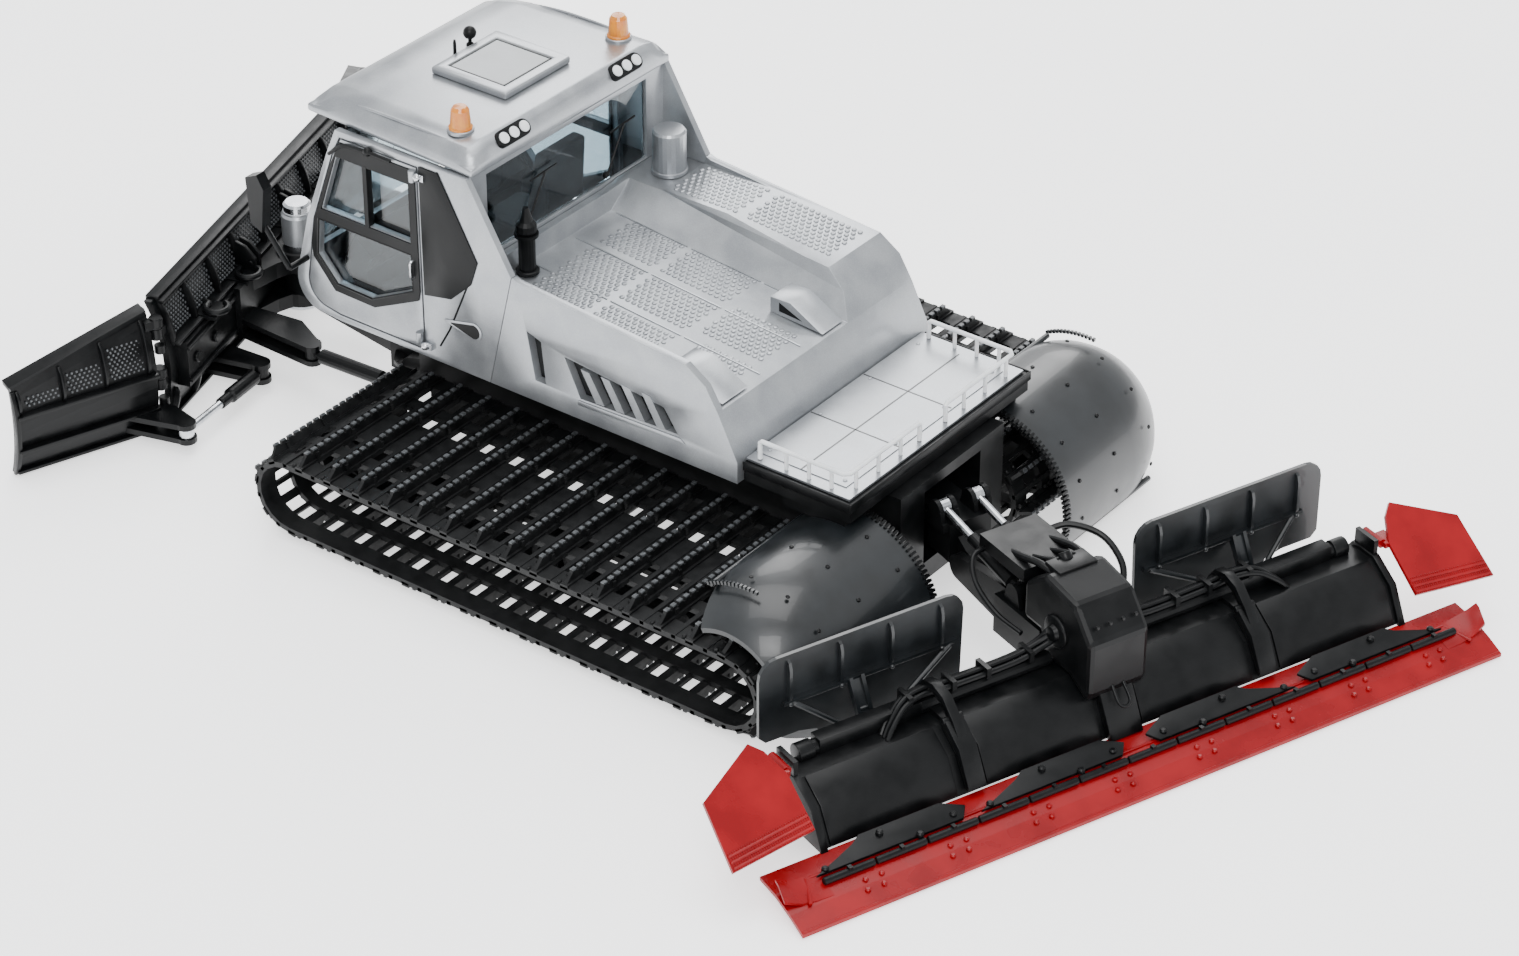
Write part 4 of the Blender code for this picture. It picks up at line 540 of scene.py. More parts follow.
def field_tree():
    """Shape repeated over a parallelogram: Count A by Count B copies, Step A and Step B apart."""
    sockets = {"Shape": ("Object", None), "Material": ("Material", None), "Start": ("Vector", (0, 0, 0))}
    sockets.update({"Count A": ("Int", 2), "Count B": ("Int", 1), "Stagger": ("Float", 0.0)})
    sockets.update({"Step A": ("Vector", (1, 0, 0)), "Step B": ("Vector", (0, 1, 0))})
    tree, given = new_tree("field_of_copies", sockets)
    count = given["Count A"]
    total = add(tree, "ShaderNodeMath", {"operation": "MULTIPLY"}, {0: count, 1: given["Count B"]})
    points = add(tree, "GeometryNodePoints", links={"Count": total.outputs[0]})
    index = add(tree, "GeometryNodeInputIndex").outputs[0]
    row = add(tree, "ShaderNodeMath", {"operation": "DIVIDE"}, {0: index, 1: count})
    row = add(tree, "ShaderNodeMath", {"operation": "FLOOR"}, {0: row.outputs[0]}).outputs[0]
    place = add(tree, "ShaderNodeMath", {"operation": "MODULO"}, {0: index, 1: count})
    odd = add(tree, "ShaderNodeMath", {"operation": "MODULO", 1: 2.0}, {0: row})
    odd = add(tree, "ShaderNodeMath", {"operation": "MULTIPLY"}, {0: odd.outputs[0], 1: given["Stagger"]})
    place = add(tree, "ShaderNodeMath", {"operation": "ADD"}, {0: place.outputs[0], 1: odd.outputs[0]})
    scale = {"operation": "SCALE"}
    along = add(tree, "ShaderNodeVectorMath", scale, {0: given["Step A"], "Scale": place.outputs[0]})
    over = add(tree, "ShaderNodeVectorMath", scale, {0: given["Step B"], "Scale": row})
    spot = add(tree, "ShaderNodeVectorMath", {"operation": "ADD"}, {0: along.outputs[0], 1: over.outputs[0]})
    spot = add(tree, "ShaderNodeVectorMath", {"operation": "ADD"}, {0: spot.outputs[0], 1: given["Start"]})
    links = {"Geometry": points.outputs[0], "Position": spot.outputs[0]}
    placed = add(tree, "GeometryNodeSetPosition", links=links)
    return end_tree(tree, given, placed.outputs[0])


def path_tree():
    """Shape repeated along the object's edges, its x along the path and its z outwards, about the y axis."""
    sockets = {"Shape": ("Object", None), "Material": ("Material", None), "Count": ("Int", 10)}
    tree, given = new_tree("copies_along_path", sockets)
    curve = add(tree, "GeometryNodeMeshToCurve", links={"Mesh": given["Geometry"]})
    even = add(tree, "GeometryNodeResampleCurve", links={"Curve": curve.outputs[0], "Count": given["Count"]})
    tangent = add(tree, "GeometryNodeInputTangent")
    settings = {"axis": "X", "pivot_axis": "Y"}
    turn = add(tree, "FunctionNodeAlignRotationToVector", settings, {"Vector": tangent.outputs[0]})
    return end_tree(tree, given, even.outputs[0], turn.outputs[0])


FIELD = field_tree()
PATH = path_tree()


def grown(name, tree, inputs, shape, material, body, place, base=None, smooth=32.0):
    """Runs a tree on base, with its copies of shape, and keeps the result as a plain piece."""
    seed = shape.object(name + "_seed")
    made = base or bpy.data.objects.new(name, bpy.data.meshes.new(name))
    if not base:
        bpy.context.scene.collection.objects.link(made)
    made.name = name
    grower = made.modifiers.new("copies", "NODES")
    grower.node_group = tree
    given = dict(inputs, Shape=seed, Material=material)
    for socket in tree.interface.items_tree:
        if socket.in_out == "INPUT" and socket.name in given:
            grower[socket.identifier] = given[socket.name]
    plain_mesh(made)
    bpy.data.objects.remove(seed, do_unlink=True)
    return settle(made, material, body, place, smooth)


def path_base(name, points, closed=False):
    """A wire that PATH follows."""
    mesh = bpy.data.meshes.new(name)
    edges = [(i, i + 1) for i in range(len(points) - 1)]
    if closed:
        edges.append((len(points) - 1, 0))
    mesh.from_pydata(points, edges, [])
    made = bpy.data.objects.new(name, mesh)
    bpy.context.scene.collection.objects.link(made)
    return made


def stud(radius, height, sides=6, top=0.7):
    """A low boss that stands on z = 0."""
    profile = [(-0.2, radius), (0.6 * height, radius), (height, top * radius)]
    return Shape().turned(profile, (0, 0, 0), (0, 0, 1), sides)


def lying_stud(radius, height, axis, sides=8):
    """A boss that stands on the plane x = 0 or y = 0 and points along axis."""
    profile = [(-0.2, radius), (0.6 * height, radius), (height, 0.7 * radius)]
    return Shape().turned(profile, (0, 0, 0), axis, sides)


# ---------------------------------------------------------------- cab
DOOR_WINDOWS = {
    "upper": [(219.6, 118.6), (269.0, 118.6), (259.3, 146.4), (219.6, 146.4)],
    "lower": [(219.6, 95.8), (242.9, 84.0), (262.3, 84.5), (272.6, 95.8), (271.0, 113.4), (219.6, 113.4)],
}
DOOR_FRAME = [(216.0, 97.0), (217.0, 92.5), (241.6, 80.6), (263.6, 81.0), (274.8, 94.0)]
DOOR_FRAME += [(275.6, 100.0), (273.2, 112.0), (262.0, 142.0), (256.6, 153.6), (216.0, 153.6)]
QUARTER_PANEL = [(213.6, 96.5), (213.6, 156.6), (203.5, 156.6), (184.0, 121.5), (188.0, 110.0), (199.0, 99.5)]
SKIN = 0.7  # how far thin trim stands proud of a panel


def outwards(side, depth_low, depth_high, face=BODY_HALF_WIDTH):
    """(low, high) y of something that lies on the outside of a side wall."""
    s = SIDES[side]
    return sorted((s * (face + depth_low), s * (face + depth_high)))


def door_trim(side):
    body = "door_" + side
    low, high = outwards(side, 0.05, SKIN)
    made = Shape().prism(DOOR_FRAME, "Y", low, high).object("door_frame_" + side)
    for window in DOOR_WINDOWS.values():
        made = cut(made, Shape().prism(window, "Y", low - 5, high + 5).object("window_" + side))
    settle(made, BLACK, body, BODY)
    bars = Shape()
    low, high = outwards(side, -2.6, SKIN + 0.1)
    bars.box((242.2, low, 118.0), (244.4, high, 147.0))
    lower = DOOR_WINDOWS["lower"]
    y = (low + high) / 2 + SIDES[side] * 1.2
    for (x0, z0), (x1, z1) in zip(lower, lower[1:] + lower[:1]):
        bars.rod((x0, y, z0), (x1, y, z1), 0.55, 8)
    piece("window_bars_" + side, bars, BLACK, body, BODY)
    handle = Shape()
    y = SIDES[side] * (BODY_HALF_WIDTH + 1.9)
    foot = y - SIDES[side] * 1.8
    handle.tube(smooth_path([(219.0, foot, 103), (219.2, y, 104), (219.2, y, 110), (219.0, foot, 111)]), 0.7)
    piece("door_handle_" + side, handle, PLATED, body, BODY)


def quarter_trim(side):
    low, high = outwards(side, 0.05, SKIN)
    piece("quarter_panel_" + side, Shape().prism(QUARTER_PANEL, "Y", low, high), BLACK, "vehicle", BODY, 0.25)
    caps = Shape()
    y = SIDES[side] * (BODY_HALF_WIDTH + 1.6)
    for z in (72.5, 152.0):
        caps.ball((213.6, y, z), 1.9)
        low, high = outwards(side, 0.0, 1.4)
        caps.box((210.6, low, z - 1.5), (213.6, high, z + 1.5))
    piece("hinge_caps_" + side, caps, PLATED, "vehicle", BODY)
    low, high = outwards(side, 0.02, 0.5)
    drop = [*arc((187.5, 88.0), 4.2, 90, 270, 10), (203.0, 87.6), (203.5, 88.6)]
    inner = [*arc((187.6, 88.0), 3.2, 90, 270, 10), (199.5, 87.9), (199.8, 88.3)]
    piece("intake_lip_" + side, Shape().prism(drop, "Y", low, high), SILVER, "vehicle", BODY, 0.2)
    # black mouth inside the lip: painted shade of the intake's recess
    low, high = outwards(side, 0.3, 0.65)
    piece("intake_mouth_" + side, Shape().prism(inner, "Y", low, high), BLACK, "vehicle", BODY)


def roof_fittings():
    rim = Shape().box((205.0, -21.0, ROOF_TOP + 0.1), (245.0, 21.0, ROOF_TOP + 3.3)).object("hatch_frame")
    opening = Shape().box((210.0, -15.5, ROOF_TOP - 2), (240.5, 15.5, ROOF_TOP + 9))
    rim = cut(rim, opening.object("hatch_opening"))
    edge = rim.modifiers.new("edge", "BEVEL")
    edge.width = 0.8
    edge.segments = 3
    plain_mesh(rim)
    settle(rim, SILVER, "vehicle", BODY)
    seal = Shape()
    for x in (210.4, 239.6):
        seal.box((x, -15.4, ROOF_TOP + 2.7), (x + 0.6, 15.4, ROOF_TOP + 3.0))
    for y in (-15.4, 14.8):
        seal.box((210.4, y, ROOF_TOP + 2.7), (240.2, y + 0.6, ROOF_TOP + 3.0))
    piece("hatch_seal", seal, BLACK, "vehicle", BODY)
    aerials = Shape()
    rod = [(0, 1.5), (1.2, 1.3), (1.5, 0.8), (7, 0.7), (8.5, 0.5)]
    aerials.standing(rod, (247.0, 3.5, ROOF_TOP - 0.6), 12)
    aerials.standing([(0, 1.9), (1.4, 1.6), (2, 0.8), (5, 0.8)], (249.0, -8.5, ROOF_TOP - 0.6), 12)
    aerials.ball((249.0, -8.5, ROOF_TOP + 5.8), 2.9, 16)
    piece("roof_aerials", aerials, BLACK, "vehicle", BODY)
    for side, s in SIDES.items():
        foot = Shape()
        foot.standing([(-0.4, 5.6), (0.9, 5.6), (1.2, 5.2), (1.2, 4.95)], (203.5, s * 51.0, ROOF_TOP), 24)
        piece("beacon_foot_" + side, foot, SILVER, "vehicle", BODY)
        lamp_cluster(side)
        line = [(196, s * 57.5, 167.4), (215, s * 58.2, 168.6)]
        line += [(240, s * 58.0, 168.6), (262, s * 56.5, 166.8)]
        piece("roof_bead_" + side, Shape().tube(smooth_path(line), 0.6), SILVER, "vehicle", BODY)


def lamp_cluster(side):
    """Three white working lamps in an oblong black pod on the roof's rear edge."""
    s = SIDES[side]
    tilt = Matrix.Translation((189.4, s * 36.5, 166.4)) @ Matrix.Rotation(math.radians(42), 4, "Y")
    ends = arc((-6.5, 0), 3.6, 90, 270, 8) + arc((6.5, 0), 3.6, -90, 90, 8)
    pod = Shape().prism([(y, z) for y, z in ends], "X", -2.2, 2.0)
    piece("lamp_pod_" + side, pod, BLACK, "vehicle", BODY @ tilt, 0.5)
    lamps = Shape()
    for y in (-6.3, 0.0, 6.3):
        lamps.turned([(0, 2.4), (0.7, 2.4), (1.1, 1.6), (1.2, 0.3)], (-2.1, y, 0), (-9, y, 0), 16)
    piece("work_lamps_" + side, lamps, WHITE, "vehicle", BODY @ tilt)


def rear_wipers():
    arms = Shape()
    for y, reach in ((28.0, 19.0), (-24.0, 19.0)):
        arms.turned([(0, 1.6), (1.0, 1.6), (1.4, 1.0)], (190.4, y, 121.0), (180, y, 121.0), 12)
        arms.rod((189.2, y, 121.0), (189.4, y - 12, 121.0 + reach), 0.5, 8)
        arms.rod((189.9, y - 20, 121.5 + reach), (189.9, y - 3, 120.5 + reach), 0.45, 8)
    piece("rear_wipers", arms, BLACK, "vehicle", BODY)


def cab_inside():
    mat = Shape().box((194.5, -61.5, 72.0), (262.0, 61.5, 72.5))
    for s in SIDES.values():
        low, high = sorted((s * 62.0, s * 62.6))
        mat.box((194.5, low, 74.0), (212.0, high, 112.0))
    piece("cab_lining", mat, SEAT, "vehicle", BODY)
    wheel = Shape()
    turns = [math.pi * i / 12 for i in range(25)]
    ring = [(253.0 + 3 * math.cos(t), -21.0 + 8.5 * math.sin(t), 103.0 + 7.5 * math.cos(t)) for t in turns]
    wheel.tube(ring, 0.9, 8)
    wheel.rod((262.0, -21, 96.0), (253.0, -21, 103.0), 1.1)
    wheel.rod((253.0, -29.0, 103.0), (253.0, -13.0, 103.0), 0.6, 8)
    piece("steering_wheel", wheel, BLACK, "vehicle", BODY)


# ---------------------------------------------------------------- load bed
def bed_floor(x):
    (x0, z0), (x1, z1) = BED_REAR, BED_FRONT
    return z0 + (z1 - z0) * (x - x0) / (x1 - x0)


def tread(name, start, step_a, step_b, counts):
    """A staggered field of flat bosses."""
    inputs = {"Start": start, "Step A": step_a, "Step B": step_b}
    inputs.update({"Count A": counts[0], "Count B": counts[1], "Stagger": 0.5})
    grown(name, FIELD, inputs, stud(1.15, 0.45), SILVER, "vehicle", BODY)


def bed_tread():
    """Fields of flat bosses on the floor, the ramp of the bin and the bin's lid."""
    slope = (BED_FRONT[1] - BED_REAR[1]) / (BED_FRONT[0] - BED_REAR[0])
    along = (TREAD_PITCH, 0, TREAD_PITCH * slope)
    fields = [(72, 2, 10, 9), (72, 32, 8, 4), (108, -19, 11, 8), (108, 8, 11, 8), (108, 36, 11, 7)]
    fields += [(146, -19, 9, 8), (146, 8, 9, 14)]
    for i, (x, y, *counts) in enumerate(fields):
        tread(f"floor_tread_{i}", (x, y, bed_floor(x) + 0.02), along, (0, TREAD_PITCH * 0.9, 0), counts)
    ridges = Shape()
    for x0, x1 in ((66, 104), (106, 142), (144, 182)):
        for y in (-20.6, 6.0, 33.0, 60.8):
            z0, z1 = bed_floor(x0), bed_floor(x1)
            ring = [(x0, y - 0.4, z0 - 0.2), (x0, y + 0.4, z0 - 0.2)]
            ring += [(x0, y + 0.3, z0 + 0.35), (x0, y - 0.3, z0 + 0.35)]
            ridges.loft([ring, [(x1, py, pz + z1 - z0) for _, py, pz in ring]])
    piece("floor_ridges", ridges, SILVER, "vehicle", BODY)


def side_top(x):
    """Height of the body's side wall at x."""
    (x0, z0), (x1, z1) = SIDE_REAR, SIDE_FRONT
    return z0 + (z1 - z0) * (x - x0) / (x1 - x0)


def bin_tread():
    """Tread on the sloping rear and on the flat front of the bin's lid."""
    rise = (SIDE_FRONT[1] - SIDE_REAR[1]) / (SIDE_FRONT[0] - SIDE_REAR[0])
    along = (TREAD_PITCH, 0, TREAD_PITCH * rise)
    tread("bin_lid_tread_rear", (84, -60, side_top(84) + 0.02), along, (0, 2.8, 0), (14, 9))
    lid = (132, -60, min(side_top(132), BIN_TOP) + 0.02)
    tread("bin_lid_tread_front", lid, (TREAD_PITCH, 0, 0.012), (0, 2.8, 0), (11, 9))


def wedge_steps():
    """Moulded steps in the rear corners of the bed, with a black triangle on their flank as painted shade of
    a window.
    """
    for name, low, high in (("left", 44.0, 60.8), ("right", -20.0, -6.0)):
        outline = [(63.5, 97.0), (90.0, bed_floor(90) + 0.1), (90.0, bed_floor(90) + 7.0)]
        outline += [(80.0, 105.8), (64.5, 97.2)]
        made = Shape().prism(outline, "Y", low, high)
        piece("wedge_step_" + name, made, SILVER, "vehicle", BODY, 0.6)
        # black triangle: painted shade of the window in the step's flank
        shade_outline = [(74.0, 99.4), (85.5, 100.2), (85.5, 104.2)]
        near = low if name == "left" else high
        face = sorted((near - 0.15, near + 0.15))
        piece("wedge_window_" + name, Shape().prism(shade_outline, "Y", *face), BLACK, "vehicle", BODY)


def louvres(side):
    """Black sheets in the side pockets as painted shade of the recesses, and slanted silver slats across the
    long one.
    """
    low, high = outwards(side, -3.95, -3.6)
    # black sheets standing for the shade inside the pockets: painted shade
    pocket_shade = Shape()
    pocket_shade.prism([(159.0, 98.2), (152.2, 95.8), (150.4, 76.8), (155.2, 76.8)], "Y", low, high)
    pocket_shade.prism([(139.6, 93.2), (89.3, 88.3), (82.6, 78.7), (131.8, 76.8)], "Y", low, high)
    piece("louvre_backs_" + side, pocket_shade, BLACK, "vehicle", BODY)
    near, far = outwards(side, -3.6, 0.35, 0.0)
    slat = Shape().prism([(0.0, 0.0), (4.4, -0.2), (12.0, 13.2), (7.6, 12.8)], "Y", near, far)
    inputs = {"Start": (88.0, SIDES[side] * BODY_HALF_WIDTH, 78.5), "Step A": (10.4, 0, -0.25)}
    inputs.update({"Count A": 4, "Count B": 1})
    grown("louvre_slats_" + side, FIELD, inputs, slat, SILVER, "vehicle", BODY)
    near, far = outwards(side, 0.0, 0.6)
    lip = Shape()
    lip.prism([(78.0, 75.2), (133.0, 73.4), (133.0, 75.6), (80.5, 77.4)], "Y", near, far)
    piece("louvre_lip_" + side, lip, SILVER, "vehicle", BODY, 0.25)


def stack_rings():
    ring = Shape().standing([(0, 7.9), (1.4, 7.9), (1.8, 7.5)], (175.5, -49.0, BIN_TOP), 28)
    piece("stack_foot", ring, SILVER, "vehicle", BODY)
    collar = Shape()
    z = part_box("rear_post")[0].z / MM
    collar.standing([(0, 5.0), (1.2, 5.0), (1.6, 4.4)], (180.0, 40.0, z))
    collar.standing([(0, 5.1), (1.4, 5.1)], (180.0, 40.0, z + 17.0))
    piece("post_collars", collar, BLACK, "vehicle", BODY)


# ---------------------------------------------------------------- platform
def platform_details():
    """Seams and screws of the plate, posts under the railings and the rim of the frame."""
    lines = Shape()
    for y in (-18.2, 18.2):
        lines.box((8.0, y - 0.3, PANEL_TOP), (51.4, y + 0.3, PANEL_TOP + 0.12))
    lines.box((29.0, -54.4, PANEL_TOP), (29.6, 54.4, PANEL_TOP + 0.12))
    piece("plate_seams", lines, SHEEN, "vehicle", BODY, 0, 0)
    screws = {"Start": (10.5, -51.0, PANEL_TOP), "Step A": (37.0, 0, 0), "Step B": (0, 34.0, 0)}
    screws.update({"Count A": 2, "Count B": 4})
    grown("plate_screws", FIELD, screws, stud(0.9, 0.4, 10), SILVER, "vehicle", BODY)
    for side, s in SIDES.items():
        rows = {
            "side": ((12.0, s * (PLATFORM_HALF_WIDTH - 4.0), PLATFORM_TOP + 0.1), (11.0, 0, 0)),
            "rear": ((4.5, s * 22.0, PLATFORM_TOP + 0.1), (0, s * 15.0, 0)),
        }
        for row, (start, step) in rows.items():
            post = Shape().standing([(0, 0.85), (8.4, 0.85)], (0, 0, 0), 10)
            inputs = {"Start": start, "Step A": step, "Count A": 3, "Count B": 1}
            grown(f"{row}_posts_{side}", FIELD, inputs, post, WHITE, "vehicle", BODY)
    rim = Shape()
    rim.box((-0.9, -PLATFORM_HALF_WIDTH - 0.9, 71.5), (0.0, PLATFORM_HALF_WIDTH + 0.9, 75.6))
    for s in SIDES.values():
        low, high = sorted((s * PLATFORM_HALF_WIDTH, s * (PLATFORM_HALF_WIDTH + 0.9)))
        rim.box((0.0, low, 71.5), (52.0, high, 75.6))
    piece("platform_rim", rim, BLACK, "vehicle", BODY, 0.3)


# ---------------------------------------------------------------- tracks
def loop_point(distance, height):
    """(x, z) at a distance along a track's outer belt face, height above it."""
    run = TRACK_FRONT_X - TRACK_REAR_X
    bend = math.pi * BELT_RADIUS
    reach = distance % (2 * (run + bend))
    radius = BELT_RADIUS + height
    if reach < run:
        return TRACK_REAR_X + reach, AXLE_Z + radius
    reach -= run
    if reach < bend:
        turn = math.pi / 2 - reach / BELT_RADIUS
        return TRACK_FRONT_X + radius * math.cos(turn), AXLE_Z + radius * math.sin(turn)
    reach -= bend
    if reach < run:
        return TRACK_FRONT_X - reach, AXLE_Z - radius
    turn = -math.pi / 2 - (reach - run) / BELT_RADIUS
    return TRACK_REAR_X + radius * math.cos(turn), AXLE_Z + radius * math.sin(turn)


LOOP_LENGTH = 2 * (TRACK_FRONT_X - TRACK_REAR_X + math.pi * BELT_RADIUS)
GROUSERS = round(LOOP_LENGTH / GROUSER_PITCH)
BELTS = ((43.0, 51.0), (62.0, 68.0), (77.0, 99.0), (108.0, 114.0), (124.0, 133.0))
TRACK_MIDDLE_Y = (TRACK_OUTER_Y + TRACK_INNER_Y) / 2
TRACK_HALF_WIDTH = (TRACK_OUTER_Y - TRACK_INNER_Y) / 2
TEETH = 22
TOOTH_PITCH = 2 * TRACK_HALF_WIDTH / TEETH


def track_wire(side, shift):
    """A loop along a track's outer face that starts shift of a grouser's pitch past the rear bend."""
    points = []
    for i in range(GROUSERS * 4):
        x, z = loop_point((i / 4 + shift) * LOOP_LENGTH / GROUSERS, 0.0)
        points.append((x, SIDES[side] * TRACK_MIDDLE_Y, z))
    return path_base("wire", points, closed=True)


def belts(side):
    shape = Shape()
    steps = 96
    for near, far in BELTS:
        low, high = sorted((SIDES[side] * near, SIDES[side] * far))
        rings = []
        for i in range(steps):
            x, z = loop_point(i * LOOP_LENGTH / steps, 0.0)
            inner_x, inner_z = loop_point(i * LOOP_LENGTH / steps, -BELT_THICKNESS)
            rings.append([(x, low, z), (x, high, z), (inner_x, high, inner_z), (inner_x, low, inner_z)])
        shape.loft([*rings, rings[0]], capped=False)
    bmesh.ops.remove_doubles(shape.mesh, verts=shape.mesh.verts, dist=1e-4)
    bmesh.ops.recalc_face_normals(shape.mesh, faces=shape.mesh.faces)
    made = piece("track_belts_" + side, shape, TRACK, "vehicle", BODY, 0, 40)
    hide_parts("track_" + side)


def grouser_blade():
    """A bar as wide as the track whose upper edge is toothed like a saw."""
    half = TRACK_HALF_WIDTH
    edge = []
    for i in range(TEETH):
        y = -half + i * TOOTH_PITCH
        edge += [(y + 0.12 * TOOTH_PITCH, 3.9), (y + 0.25 * TOOTH_PITCH, GROUSER_HEIGHT)]
        edge += [(y + 0.75 * TOOTH_PITCH, GROUSER_HEIGHT), (y + 0.88 * TOOTH_PITCH, 3.9)]
    edge = [(y, z) for y, z in edge if abs(y) < half - 4.0]
    outline = [(-half, -0.3), (-half + 1.0, 0.8), *edge, (half - 1.0, 0.8), (half, -0.3)]
    shape = Shape()
    shape.prism(outline, "X", -0.8, 0.8)
    shape.prism([(-half, -1.2), (-half, 0.9), (half, 0.9), (half, -1.2)], "X", -1.9, 1.9)
    for y in (-34.0, -12.0, 12.0, 34.0):
        shape.prism([(y - 0.8, 0.5), (y - 0.8, 3.6), (y + 0.8, 3.6), (y + 0.8, 0.5)], "X", -1.7, 1.7)
    return shape


def grouser_crest():
    """The crest of the teeth, painted pale as a highlight."""
    shape = Shape()
    reach = 0.28 * TOOTH_PITCH
    for i in range(1, TEETH - 1):
        y = -TRACK_HALF_WIDTH + (i + 0.5) * TOOTH_PITCH
        shape.box((-0.85, y - reach, GROUSER_HEIGHT - 0.75), (0.85, y + reach, GROUSER_HEIGHT + 0.05))
    return shape


def track_details(side):
    """Grousers, their crests, the crossbars between them and the belt bolts."""
    half = TRACK_HALF_WIDTH
    bar = Shape().prism([(-half, -1.6), (-half, 0.3), (half, 0.3), (half, -1.6)], "X", -1.0, 1.0)
    bolts = Shape()
    for near, far in BELTS:
        for y in (near + 1.6, far - 1.6):
            spot = (3.4, SIDES[side] * (y - TRACK_MIDDLE_Y), 0)
            bolts.standing([(-0.2, 0.95), (0.8, 0.95), (1.1, 0.6)], spot, 8)
    for name, shape, material, shift, smooth in (
        ("grousers_", grouser_blade(), TRACK, 0.08, 25),
        # the crests carry the pale painted highlight
        ("grouser_crests_", grouser_crest(), PALE_HIGHLIGHT, 0.08, 0),
        ("crossbars_", bar, TRACK, 0.58, 25),
        ("belt_bolts_", bolts, TRACK, 0.08, 25),
    ):
        wire = track_wire(side, shift)
        grown(name + side, PATH, {"Count": GROUSERS}, shape, material, "vehicle", BODY, wire, smooth)


def wheel_rims():
    """Ribs and hub caps on the outer wheel faces."""
    for node in AXLES:
        low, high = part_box(node)
        x = (low.x + high.x) / 2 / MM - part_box("rear_platform")[0].x / MM
        z = (low.z + high.z) / 2 / MM
        radius = (high.z - low.z) / 2 / MM
        shape = Shape()
        for s in SIDES.values():
            face = s * 100.0
            shape.turned([(-1, 3.6), (0.6, 3.6), (1.4, 2.6)], (x, face, z), (x, face + s, z), 14)
            for k in range(8):
                across, up = math.cos(math.pi * k / 4), math.sin(math.pi * k / 4)
                spot = (x + (radius - 5.2) * across, face - s * 5.0, z + (radius - 5.2) * up)
                hub = (x + 4.4 * across, face - s * 3.0, z + 4.4 * up)
                shape.rod(hub, spot, 0.8, 6)
        piece(node + "_ribs", shape, BLACK, "vehicle", BODY)


# ---------------------------------------------------------------- rear hoods
def hood(side):
    """Half-round hood whose outer end closes in like the nose of a bullet."""
    s = SIDES[side]
    centre = (TRACK_REAR_X, AXLE_Z)
    stations = [(47, 0), (97, 0), (104, 0.4), (110, 1.4), (116, 3.2)]
    stations += [(121, 5.4), (125, 7.9), (128.4, 10.4), (130.8, 13.0)]
    rings = []
    for y, drop in stations:
        outer = arc(centre, FENDER_RADIUS - drop, 62, 205, 56)
        inner = arc(centre, FENDER_RADIUS - drop - FENDER_WALL, 62, 205, 56)
        rings.append([(x, s * y, z) for x, z in outer + inner[::-1]])
    made = piece("hood_" + side, Shape().loft(rings), SHEEN, "vehicle", BODY, 0, 40)
    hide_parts("fender_" + side)
    saddle = Shape()
    low, high = sorted((s * 47.5, s * 60.0))
    saddle.box((TRACK_REAR_X - 4.0, low, AXLE_Z + FENDER_RADIUS - 2.0), (TRACK_REAR_X + 26.0, high, 69.5))
    piece("hood_saddle_" + side, saddle, BLACK, "vehicle", BODY)


def hood_details(side):
    s = SIDES[side]
    centre = (TRACK_REAR_X, AXLE_Z)
    for i, y in enumerate((58.0, 84.0, 110.0)):
        wire = path_base("wire", [(x, s * y, z) for x, z in arc(centre, FENDER_RADIUS, 84, 186, 40)])
        rivet = stud(0.95, -0.6, 10)
        grown(f"hood_rivets_{side}_{i}", PATH, {"Count": 5}, rivet, BLACK, "vehicle", BODY, wire)
    tooth = Shape().box((-0.55, -2.4 if s > 0 else -1.2, -0.6), (0.55, 1.2 if s > 0 else 2.4, 1.4))
    wire = path_base("wire", [(x, s * 47.2, z) for x, z in arc(centre, FENDER_RADIUS, 66, 203, 80)])
    grown("hood_comb_" + side, PATH, {"Count": 46}, tooth, BLACK, "vehicle", BODY, wire, smooth=0)
    tooth = Shape().box((-0.55, -0.7, -1.0), (0.55, 0.7, 0.55))
    wire = path_base("wire", [(x, s * 117.6, z) for x, z in arc(centre, FENDER_RADIUS, 62, 96, 40)])
    grown("hood_ridges_" + side, PATH, {"Count": 14}, tooth, SHEEN, "vehicle", BODY, wire)
    seam = Shape()
    for angle in (205.0, 62.0):
        x, z = arc(centre, FENDER_RADIUS - 1.0, angle, angle, 1)[0]
        low, high = sorted((s * 48.0, s * 117.0))
        seam.rod((x, low, z), (x, high, z), 1.25, 10)
    piece("hood_beads_" + side, seam, SHEEN, "vehicle", BODY)


def body_seams(side):
    """Dark joints between cab, side cover and door sill."""
    lines = Shape()
    y = SIDES[side] * (BODY_HALF_WIDTH - 0.05)
    lines.tube([(206.5, y, 74.5), (201.0, y, 84.0), (190.5, y, 108.0), (185.2, y, 119.5)], 0.45, 8)
    lines.tube([(190.5, y, 124.0), (199.0, y, 141.0), (204.0, y, 157.0)], 0.4, 8)
    piece("body_seams_" + side, lines, BLACK, "vehicle", BODY)
    y = SIDES[side] * (BODY_HALF_WIDTH + 1.2)
    line = [(228.0, y, 154.6), (240.0, y + SIDES[side], 155.4), (254.0, y, 153.2), (262.0, y, 147.0)]
    rail = Shape().tube(smooth_path(line), 0.8)
    rail.ball((240.0, y + SIDES[side] * 0.4, 155.2), 2.0)
    piece("door_top_bar_" + side, rail, BLACK, "door_" + side, BODY)


